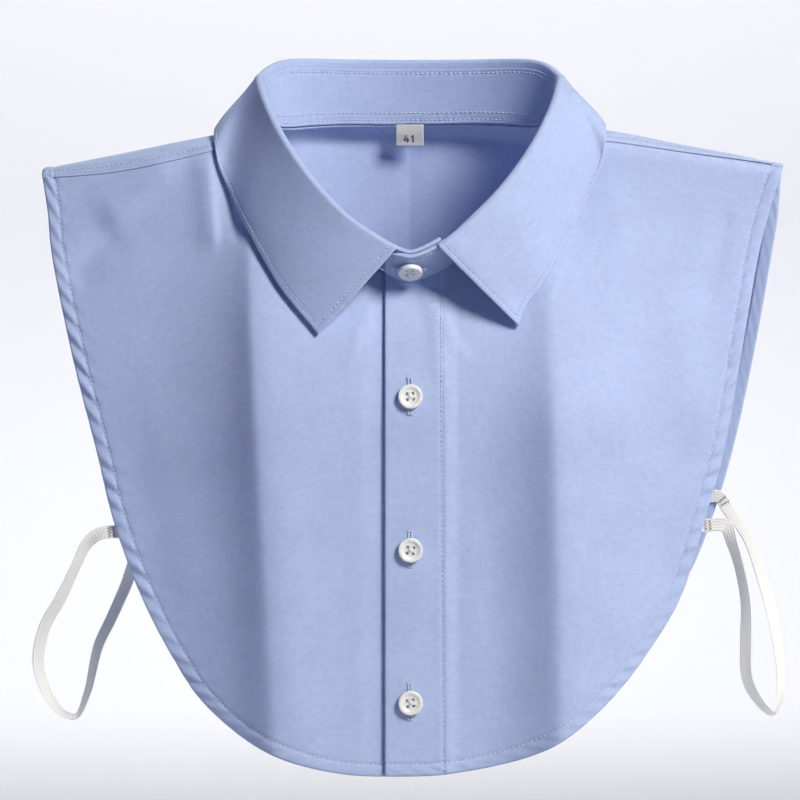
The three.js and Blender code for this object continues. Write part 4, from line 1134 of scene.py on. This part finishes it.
def collar_leaf():
    shares = end_shares(LEAF_STEPS[:-1], 6.4, LEAF_LENGTH, LEAF_COLUMNS)
    angles = even_params(leaf_edge, LEFT_END, RIGHT_END, shares)[::-1]
    up, out = stand_frame(angles)
    along_edge = lengths_of(leaf_edge(angles))
    from_ends = np.minimum(along_edge, along_edge[-1] - along_edge)
    opened = smooth(from_ends / 95.0)[:, None]
    seam = fold_point(angles) + out * (LAYER_LIFT * stand_layer(angles))[:, None]
    base = seam - up * LEAF_ROOT
    rise = seam + up * mix(LEAF_RISE_ENDS, LEAF_RISE_BACK, opened)
    lines = [base, (base + rise) / 2]
    end = leaf_edge(angles)
    bulge = out * LEAF_BULGE * mix(0.25, 1.0, opened)

    def rolled(turn):
        return rise + LEAF_FOLD_RADIUS * (out * (1 - np.cos(turn)) + up * np.sin(turn))

    def reach_of(start):
        return np.linalg.norm(end - start, axis=-1, keepdims=True)

    def first_handle(start):
        return start + (end - start) * 0.3 - up * 0.1 * reach_of(start) * opened + bulge

    # The roll stops where it already heads for the leaf
    start = rolled(np.full((len(angles), 1), math.pi))
    heading = first_handle(start) - start
    last_turn = math.pi - np.arctan2(np.sum(heading * out, -1), -np.sum(heading * up, -1))[:, None]
    last_turn = np.clip(last_turn, math.pi / 2, math.pi)
    for share in np.linspace(0, 1, ROLL_STEPS + 1):
        lines.append(rolled(share * last_turn))
    start = lines[-1]
    handles = (first_handle(start), end + (start - end) * 0.35 + bulge)
    last_steps = LEAF_STEPS / reach_of(start)
    plain = np.linspace(0, 1, LEAF_ROWS)[1:-1, None, None]
    for t in [*(plain * (1 - last_steps[:, -1:])), *(1 - last_steps.T[::-1, :, None])]:
        lines.append(bezier(start, *handles, end, t))
    middle = np.array(lines)
    down = lengths_of(middle)
    edge_low = down[-1] - down
    from_first = lengths_of(middle, axis=1)
    across, fall = unit(np.gradient(middle, axis=1)), unit(np.gradient(middle, axis=0))
    slant = np.linalg.norm(np.cross(across, fall), axis=-1)
    ends = np.minimum(from_first * slant[:, :1], (from_first[:, -1:] - from_first) * slant[:, -1:])
    near = np.minimum(edge_low, ends)
    full = edge_round(np.minimum(near, down + 0.4), 0.75)
    bent = groove(near, LEAF_STITCH, 0.6)
    half = LEAF_THICKNESS / 2
    soft = 0.1 * np.sin(from_first / 9.0 + 0.4) * groove(near, 6.0, 6.0)
    outer = (half - 0.16 * bent + 0.05 * groove(near, 1.5, 1.2) + soft) * full
    inner = -(half - 0.1 * bent) * full
    uvs = np.stack([from_first - from_first[:, -1:] / 2, down], -1)
    sheet = cloth_sheet("collar_leaf_cloth", middle, outer, inner, uvs, chambray, "chambray", "collar_leaf")
    return dict(sheet, ends=ends, low=edge_low)


leaf = collar_leaf()


# Buttons
def lathe(profile, sides):
    ring = np.linspace(0, 2 * math.pi, sides, endpoint=False)
    mesh = bmesh.new()
    loops = []
    for radius, height in profile:
        if radius < 1e-6:
            loops.append([mesh.verts.new((0, 0, height))])
        else:
            places = [(radius * math.cos(a), radius * math.sin(a), height) for a in ring]
            loops.append([mesh.verts.new(place) for place in places])
    for low, high in zip(loops, loops[1:]):
        for k in range(sides):
            j = (k + 1) % sides
            if len(low) == 1:
                mesh.faces.new((low[0], high[j], high[k]))
            elif len(high) == 1:
                mesh.faces.new((low[k], low[j], high[0]))
            else:
                mesh.faces.new((low[k], low[j], high[j], high[k]))
    return mesh


def button_mesh():
    radius, top = BUTTON_DIAMETER / 2, BUTTON_THICKNESS
    floor = top - BUTTON_FLOOR
    low, rim = 0.5, 0.6
    profile = [(0, 0), (radius - low, 0)]
    for a in np.linspace(0.3, 1.57, 4):
        profile.append((radius - low + low * math.sin(a), low - low * math.cos(a)))
    for a in np.linspace(0, 1.57, 6):
        profile.append((radius - rim + rim * math.cos(a), top - rim + rim * math.sin(a)))
    profile += [(radius - inward, top - down) for inward, down in BUTTON_DISH]
    profile += [(0.9, floor), (0, floor)]
    disc = lathe([(r * MM, z * MM) for r, z in profile], 56)
    bmesh.ops.recalc_face_normals(disc, faces=disc.faces)
    drills = bmesh.new()
    drill_size = dict(radius1=HOLE_RADIUS * MM, radius2=HOLE_RADIUS * MM, depth=0.008)
    for x in (-0.5, 0.5):
        for y in (-0.5, 0.5):
            at = Matrix.Translation((x * HOLE_PITCH * MM, y * HOLE_PITCH * MM, 0.001))
            bmesh.ops.create_cone(drills, cap_ends=True, segments=16, matrix=at, **drill_size)
    solids = []
    for name, shape in (("button_blank", disc), ("button_drill", drills)):
        data = bpy.data.meshes.new(name)
        shape.to_mesh(data)
        solids.append(add_object(name, data))
    blank, drill = solids
    cut = blank.modifiers.new("holes", "BOOLEAN")
    cut.object, cut.operation, cut.solver = drill, "DIFFERENCE", "EXACT"
    bpy.context.view_layer.update()
    result = bpy.data.meshes.new_from_object(blank.evaluated_get(bpy.context.evaluated_depsgraph_get()))
    for extra in (blank, drill):
        bpy.data.objects.remove(extra, do_unlink=True)
    return result


button_shape = button_mesh()
threads = Stitching()
buttonholes = Stitching()


def frame_at(point, out, up_hint=(0, 0, 1)):
    """Right, up and out directions at a point on the cloth."""
    out = unit(np.asarray(out, float))
    right = unit(np.cross(np.asarray(up_hint, float), out))
    return np.asarray(point, float), right, np.cross(out, right), out


def place_button(name, point, out, replaced, spin):
    point, right, up, out = frame_at(point, out)
    turned = Matrix((
        (right[0], up[0], out[0], point[0] * MM),
        (right[1], up[1], out[1], point[1] * MM),
        (right[2], up[2], out[2], point[2] * MM),
        (0, 0, 0, 1),
    )) @ Matrix.Rotation(spin, 4, "Z")
    mesh = button_shape.copy()
    mesh.transform(turned)
    mesh.name = name
    mesh.polygons.foreach_set("use_smooth", [True] * len(mesh.polygons))
    mesh.set_sharp_from_angle(angle=math.radians(38))
    mesh.materials.clear()
    mesh.materials.append(resin)
    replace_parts(add_piece(name, mesh), replaced)
    # Crossed threads through the four holes
    axes = np.array(turned)[:3, :3]
    half = HOLE_PITCH / 2
    top = BUTTON_THICKNESS - BUTTON_FLOOR
    corners = [(-half, -half), (half, half), (-half, half), (half, -half)]
    spots = [point + axes @ np.array([x, y, top]) for x, y in corners]
    for a, b, arch in ((spots[0], spots[1], 0.55), (spots[2], spots[3], 0.8)):
        for shift in (-0.2, 0.2):
            side = unit(np.cross(b - a, out)) * shift
            threads.bar(a + side - out * 0.5, b + side - out * 0.5, out, 0.22, arch=arch, steps=6)


def place_buttonhole(point, right, up, out, above, below, wide):
    """A worked buttonhole: close satin bars round a slit, with bar tacks at both ends."""
    for z in np.arange(-below, above, SATIN_PITCH):
        for side in (-1, 1):
            a = point + up * z + right * side * 0.14
            b = point + up * z + right * side * wide
            buttonholes.bar(a, b, out, SATIN_RADIUS, arch=0.12, sides=5, steps=3)
    for end in (-below - 0.4, above + 0.2):
        for x in np.arange(-wide + 0.25, wide, SATIN_PITCH):
            a = point + up * (end - 0.75) + right * x
            b = point + up * (end + 0.75) + right * x
            buttonholes.bar(a, b, out, SATIN_RADIUS, arch=0.18, sides=5, steps=3)


for number, spin in ((1, 0.08), (2, -0.12), (3, 0.14)):
    z = -(FIRST_BUTTON_DROP + (number - 1) * BUTTON_PITCH)
    run = float(run_at(BUTTON_ACROSS, z, np.array(True)))
    middle, normal = skin(BUTTON_ACROSS, run), skin_normal(BUTTON_ACROSS, run)
    seat = middle + normal * (PLACKET_TOP + BUTTON_SEAT)
    place_button(f"front_button_pearl_{number}", seat, normal, f"front_button_{number}", spin)
    place_buttonhole(*frame_at(middle + normal * (PLACKET_TOP + 0.05), normal), **PLACKET_BUTTONHOLE)

collar_up, collar_out = (v[0] for v in stand_frame(np.array([math.pi - 1e-4])))
collar_seat = mix(neck_point(math.pi), fold_point(math.pi), COLLAR_BUTTON_SHARE)
collar_seat = collar_seat + collar_out * (LAYER_LIFT + STAND_THICKNESS / 2 + BUTTON_SEAT)
place_button("collar_button_pearl", collar_seat, collar_out, "collar_button", 0.1)
point, right, up, out = frame_at(collar_seat - collar_out * (BUTTON_SEAT - 0.1), collar_out)
place_buttonhole(point, up, -right, out, **COLLAR_BUTTONHOLE)
threads.piece("button_thread", thread_white, "button")
buttonholes.piece("buttonhole_stitches", thread_blue, "chambray")


# Rows of stitches on every seam
seams = Stitching()


def stitch(sheet, r, c, lift=0.12):
    seams.row(on_grid(sheet["face"], r, c), on_grid(sheet["normals"], r, c), lift)


def columns_where(values, goal, lowest, highest):
    """For each row, the fractional column at which a rising value reaches a goal."""
    count = values.shape[1]
    low, high = int(lowest * (count - 1)), int(highest * (count - 1)) + 1
    index = np.arange(low, high)
    goals = np.broadcast_to(goal, len(values))
    return np.array([np.interp(goal_row, row[low:high], index) for row, goal_row in zip(values, goals)])


for sheet in (placket, underlap, back):
    rows_down, columns_across = sheet["face"].shape[:2]
    hem_row = rows_down - 1 - int(np.argmin(np.abs(HEM_STEPS - HEM_WIDTH)))
    stitch(sheet, hem_row, np.arange(2, columns_across - 2))

# Down the placket
down_rows = np.arange(1, placket["face"].shape[0] - 4)
line = placket_line(placket["run"][down_rows, 14])
stitch(placket, down_rows, columns_where(placket["x"][down_rows], line, 0.0, 0.3))

# Shoulder seams
down_rows = np.arange(1, back["face"].shape[0] - 2)
from_right = back["from_right"][down_rows]
stitch(back, down_rows, columns_where(from_right, SEAM_STITCH, 0.0, 0.2))
stitch(back, down_rows, columns_where(from_right - from_right[:, -1:], -SEAM_STITCH, 0.8, 1.0))

# Collar stand, outside and inside
inside = dict(face=stand["lining"], normals=-grid_normals(stand["lining"]))
stand_rows, stand_columns = stand["face"].shape[:2]
keep = np.arange(8, stand_columns - 8)
for sheet, measured, far, sign in (
    (stand, "up", STAND_STITCH, 1),
    (inside, "up", STAND_STITCH, 1),
    (inside, "low", STAND_STITCH, -1),
    (inside, "low", STAND_INNER_STITCH, -1),
):
    r = [np.interp(sign * far, sign * column, np.arange(stand_rows)) for column in stand[measured].T]
    stitch(sheet, np.array(r)[keep], keep, lift=0.1)

# Collar leaf
leaf_columns = leaf["face"].shape[1]
low_row = int(np.argmin(np.abs(leaf["low"][:, leaf_columns // 2] - LEAF_STITCH)))
down_rows = np.arange(10, low_row + 1)
left_c = columns_where(leaf["ends"][down_rows], LEAF_STITCH, 0.0, 0.4)
right_c = columns_where(-leaf["ends"][down_rows], -LEAF_STITCH, 0.6, 1.0)
bottom_c = np.linspace(left_c[-1], right_c[-1], 500)[1:-1]
path_r = np.concatenate([down_rows, np.full(len(bottom_c), low_row), down_rows[::-1]])
stitch(leaf, path_r, np.concatenate([left_c, bottom_c, right_c[::-1]]), lift=0.1)
seams.piece("seam_stitches", thread_blue, "chambray")


# Size label with a woven border and a plain number
LABEL_WIDTH = 13.3
LABEL_HEIGHT = 10.0
LABEL_HALF = 0.22  # half of its thickness
LABEL_SINK = 1.4
LABEL_CURL = 1.8
NUMBER_HEIGHT = 3.2
NUMBER_WIDTH = 2.9
NUMBER_DROP = 1.9
NUMBER_STROKE = 0.72
low, high = (np.array(corner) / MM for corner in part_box("size_label"))
label_middle = (low + high) / 2 - np.array([0.0, 0.0, LABEL_SINK])


def size_label():
    u, v = np.meshgrid(np.linspace(-0.5, 0.5, 60), np.linspace(0.5, -0.5, 44))
    bend = 0.12 * np.cos(math.pi * u) + 0.06 * np.sin(9 * u + 2 * v)
    middle = np.stack([
        label_middle[0] + u * (high[0] - low[0]),
        label_middle[1] + bend * 0.5 + LABEL_CURL * smooth(0.5 - v) ** 2,
        label_middle[2] + v * (high[2] - low[2]),
    ], -1)
    edge = np.minimum((0.5 - np.abs(u)) * LABEL_WIDTH, (0.5 - np.abs(v)) * LABEL_HEIGHT)
    full = edge_round(edge, 0.35)
    raised = LABEL_HALF + 0.05 * groove(edge, 0.7, 0.4)
    uvs = np.stack([u * LABEL_WIDTH, v * LABEL_HEIGHT], -1)
    grids = (middle, raised * full, -LABEL_HALF * full, uvs)
    sheet = cloth_sheet("size_label_tape", *grids, tape, "label", "size_label")
    letters = Stitching()
    four = [(-0.1, 0.5, -0.42, -0.16), (-0.42, -0.16, 0.4, -0.16), (0.14, 0.22, 0.14, -0.5)]
    one = [(-0.2, 0.28, 0.08, 0.5), (0.08, 0.5, 0.08, -0.5)]
    outward = np.array([0.0, -1.0, 0.0])
    for digit, shift in ((four, -1.5), (one, 1.4)):
        for x0, z0, x1, z1 in digit:
            a = np.array([shift + x0 * NUMBER_WIDTH, 0, z0 * NUMBER_HEIGHT - NUMBER_DROP])
            b = np.array([shift + x1 * NUMBER_WIDTH, 0, z1 * NUMBER_HEIGHT - NUMBER_DROP])
            count = max(int(np.linalg.norm(b - a) / 0.3), 1)
            along = unit(b - a)
            slant = unit(np.cross(along, outward) + 0.25 * along)
            for t in np.linspace(0, 1, count + 1):
                point = label_middle + mix(a, b, t) + outward * 0.26
                point[1] += LABEL_CURL * smooth(0.5 - (point[2] - label_middle[2]) / (high[2] - low[2])) ** 2
                reach = slant * NUMBER_STROKE / 2
                letters.bar(point - reach, point + reach, outward, 0.16, arch=0.08, sides=5, steps=3)
    return sheet["piece"], letters.piece("size_label_number", thread_ink, "label")


label_piece, label_number = size_label()


# Elastic loops
def strap(side):
    table = STRAPS[side]
    sewn = -(HEM_HALF + STRAP_SEAT + STRAP_THICKNESS / 2)

    def seat(is_front, drop):
        outline = outline_curve(side, is_front)
        edge = outline[np.argmax(outline[:, 1] < -drop)]

        def at(x):
            place = (x, float(run_at(x, edge[1], np.array(is_front))))
            return skin(*place) + skin_normal(*place) * sewn

        return at(edge[0] - side * STRAP_HOLD), at(edge[0])

    front_drop, back_drop = STRAP_SEAMS[side]
    (start_in, start), (end, end_out) = seat(True, front_drop), seat(False, back_drop)[::-1]
    points = [start_in, start]
    turns = [90.0, 90.0]
    for out, deep, down, turn in zip(table["out"], table["deep"], table["down"], table["turn"]):
        point = mix(start, end, deep) + np.array([side * STRAP_REACH * out, 0, -STRAP_DROP * down])
        points.append(point)
        turns.append(turn)
    points += [end, end_out]
    turns += [90.0, 90.0]
    line = catmull_rom(points, STRAP_STEPS)
    t = np.linspace(0, 1, STRAP_STEPS + 1)
    along = unit(np.gradient(line, axis=0))
    to_back = unit(np.array([0.0, 1.0, 0.0]) - along * along[:, 1:2])
    across = np.cross(along, to_back)
    at = {"at": np.linspace(0, 1, len(turns)), "turn": np.array(turns)}
    turn = np.radians(read(at, "at", "turn", t))[:, None]
    width = to_back * np.cos(turn) + across * np.sin(turn)
    far = lengths_of(line)
    plain = np.linspace(-0.44, 0.44, 25)
    shares = np.concatenate([[-0.5, -0.49, -0.47], plain, [0.47, 0.49, 0.5]])
    ribs = np.sin(2 * math.pi * far / STRAP_RIB)[:, None]
    cords = np.cos(2 * math.pi * STRAP_CORDS * shares)[None]
    curl = STRAP_CURL * np.sin(far / STRAP_WAVE + side)[:, None] * (4 * shares * shares - 0.4)[None]
    wide = STRAP_WIDTH + 0.14 * ribs
    middle = line[:, None] + width[:, None] * (shares[None] * wide)[..., None]
    edge = (0.5 - np.abs(shares))[None] * STRAP_WIDTH
    full = edge_round(edge, 0.45) * np.ones_like(ribs)
    thick = (0.38 + 0.04 * ribs + 0.06 * cords) * full
    uvs = np.stack(np.broadcast_arrays((shares * STRAP_WIDTH)[None], far[:, None]), -1)
    name = "left" if side < 0 else "right"
    grids = (middle, thick + curl, curl - thick, uvs)
    sheet = cloth_sheet(f"elastic_band_{name}", *grids, elastic, "elastic", f"elastic_strap_{name}")
    # Zigzag tacks on both ends, just outside the hem
    tack_start = STRAP_HOLD + TACK_START
    for start, sign in ((tack_start, 1), (far[-1] - tack_start, -1)):
        for row_shift in TACK_ROWS:
            places = []
            for k, share in enumerate(np.linspace(-0.4, 0.4, 8)):
                away = start + sign * (row_shift + (TACK_STEP if k % 2 else 0.0))
                r = np.interp(away, far, np.arange(len(far)))
                places.append((r, np.interp(share, shares, np.arange(len(shares)))))
            for (r0, c0), (r1, c1) in zip(places, places[1:]):
                for grid, facing in (("face", 1), ("lining", -1)):
                    a, b = on_grid(sheet[grid], r0, c0), on_grid(sheet[grid], r1, c1)
                    up = facing * on_grid(sheet["normals"], (r0 + r1) / 2, (c0 + c1) / 2)
                    tacks.bar(a, b, up, 0.17, arch=0.16)


tacks = Stitching()
for side in (-1, 1):
    strap(side)
tacks.piece("strap_tacks", thread_grey, "elastic")


# Studio: a pale floor that curves up into a far wall, one soft key and a dim cool room
floor_material, floor_tree, floor_shader = nodes_of("studio_paper")
paper = node(floor_tree, "ShaderNodeTexNoise", {"Scale": 3.0, "Detail": 2.0})
white = blend_colors(floor_tree, paper.outputs["Fac"], (0.76, 0.76, 0.77, 1), (0.8, 0.8, 0.8, 1))
floor_tree.links.new(white, floor_shader.inputs["Base Color"])
floor_shader.inputs["Roughness"].default_value = 0.9
FLOOR_Z, FLOOR_FRONT, WALL_Y, WALL_TOP, WALL_HALF, CURVE = -0.45, -2.4, 3.4, 2.6, 3.0, 0.6
profile = [(FLOOR_FRONT, FLOOR_Z), (WALL_Y - CURVE, FLOOR_Z)]
profile += [
    (WALL_Y - CURVE + CURVE * math.sin(a), FLOOR_Z + CURVE * (1 - math.cos(a)))
    for a in np.linspace(0, math.pi / 2, 17)[1:]
]
profile += [(WALL_Y, WALL_TOP)]
verts = [(x, y, z) for y, z in profile for x in (-WALL_HALF, WALL_HALF)]
faces = [(2 * i, 2 * i + 1, 2 * i + 3, 2 * i + 2) for i in range(len(profile) - 1)]
backdrop = add_object("backdrop", smooth_mesh("backdrop", verts, faces, floor_material))


def area_light(name, at, aim, size, power, color, spread):
    data = bpy.data.lights.new(name, "AREA")
    data.shape, data.size, data.energy, data.color = "DISK", size, power, color
    data.spread = math.radians(spread)
    lamp = add_object(name, data)
    lamp.location = at
    lamp.rotation_euler = (Vector(aim) - lamp.location).to_track_quat("-Z", "Y").to_euler()


KEY_TURN, KEY_HEIGHT, KEY_FAR = math.radians(43), math.radians(36), 2.2
MIDDLE_Z = -0.08
WARM = (1.0, 0.97, 0.9)
key_at = (
    KEY_FAR * math.sin(KEY_TURN) * math.cos(KEY_HEIGHT),
    -KEY_FAR * math.cos(KEY_TURN) * math.cos(KEY_HEIGHT),
    KEY_FAR * math.sin(KEY_HEIGHT) + MIDDLE_Z,
)
area_light("key", key_at, (0, 0, MIDDLE_Z), 0.8, 7.4, (1.0, 0.925, 0.77), 60)
area_light("fill_left", (-1.2, -1.2, -0.25), (-0.25, 0, -0.22), 0.2, 0.045, WARM, 12)
area_light("fill_right", (-0.3, -2.0, -0.3), (0.215, 0, -0.22), 0.1, 0.02, WARM, 6)
area_light("back", (-0.8, 1.7, 1.45), (0, 0, MIDDLE_Z), 0.8, 3.0, (1.0, 0.97, 0.92), 60)
for side in (-1, 1):
    wall_aim = (side * 0.2, WALL_Y, 0)
    area_light(f"wall_{side + 2}", (side * 1.3, 1.9, 2.1), wall_aim, 0.8, 23, (1.0, 1.0, 1.0), 120)
# Three lights turned away from the part keep the rest of the floor pale
FLOOR_NEAR, FLOOR_FAR, FLOOR_HIGH = 1.7, 3.3, 2.3
for index, (turn_x, turn_y) in enumerate(((0, -1), (-1, 0), (1, 0))):
    floor_at = (turn_x * FLOOR_NEAR, turn_y * FLOOR_NEAR, FLOOR_HIGH)
    floor_aim = (turn_x * FLOOR_FAR, turn_y * FLOOR_FAR, FLOOR_Z)
    area_light(f"floor_{index + 1}", floor_at, floor_aim, 0.8, 16, (0.9, 0.94, 1.0), 100)
world = bpy.data.worlds.new("studio")
world.use_nodes = True
room = world.node_tree
toward = node(room, "ShaderNodeTexCoord").outputs["Generated"]
height = node(room, "ShaderNodeSeparateXYZ", {0: toward}).outputs[2]
upward = ranged(room, height, 0.03, 0.4, 0, 1)
room_color = blend_colors(room, upward, (0.16, 0.2, 0.32, 1), (0.0, 0.01, 0.07, 1))
room.links.new(room_color, room.nodes["Background"].inputs[0])
bpy.context.scene.world = world
bpy.context.scene.view_settings.view_transform = "Standard"
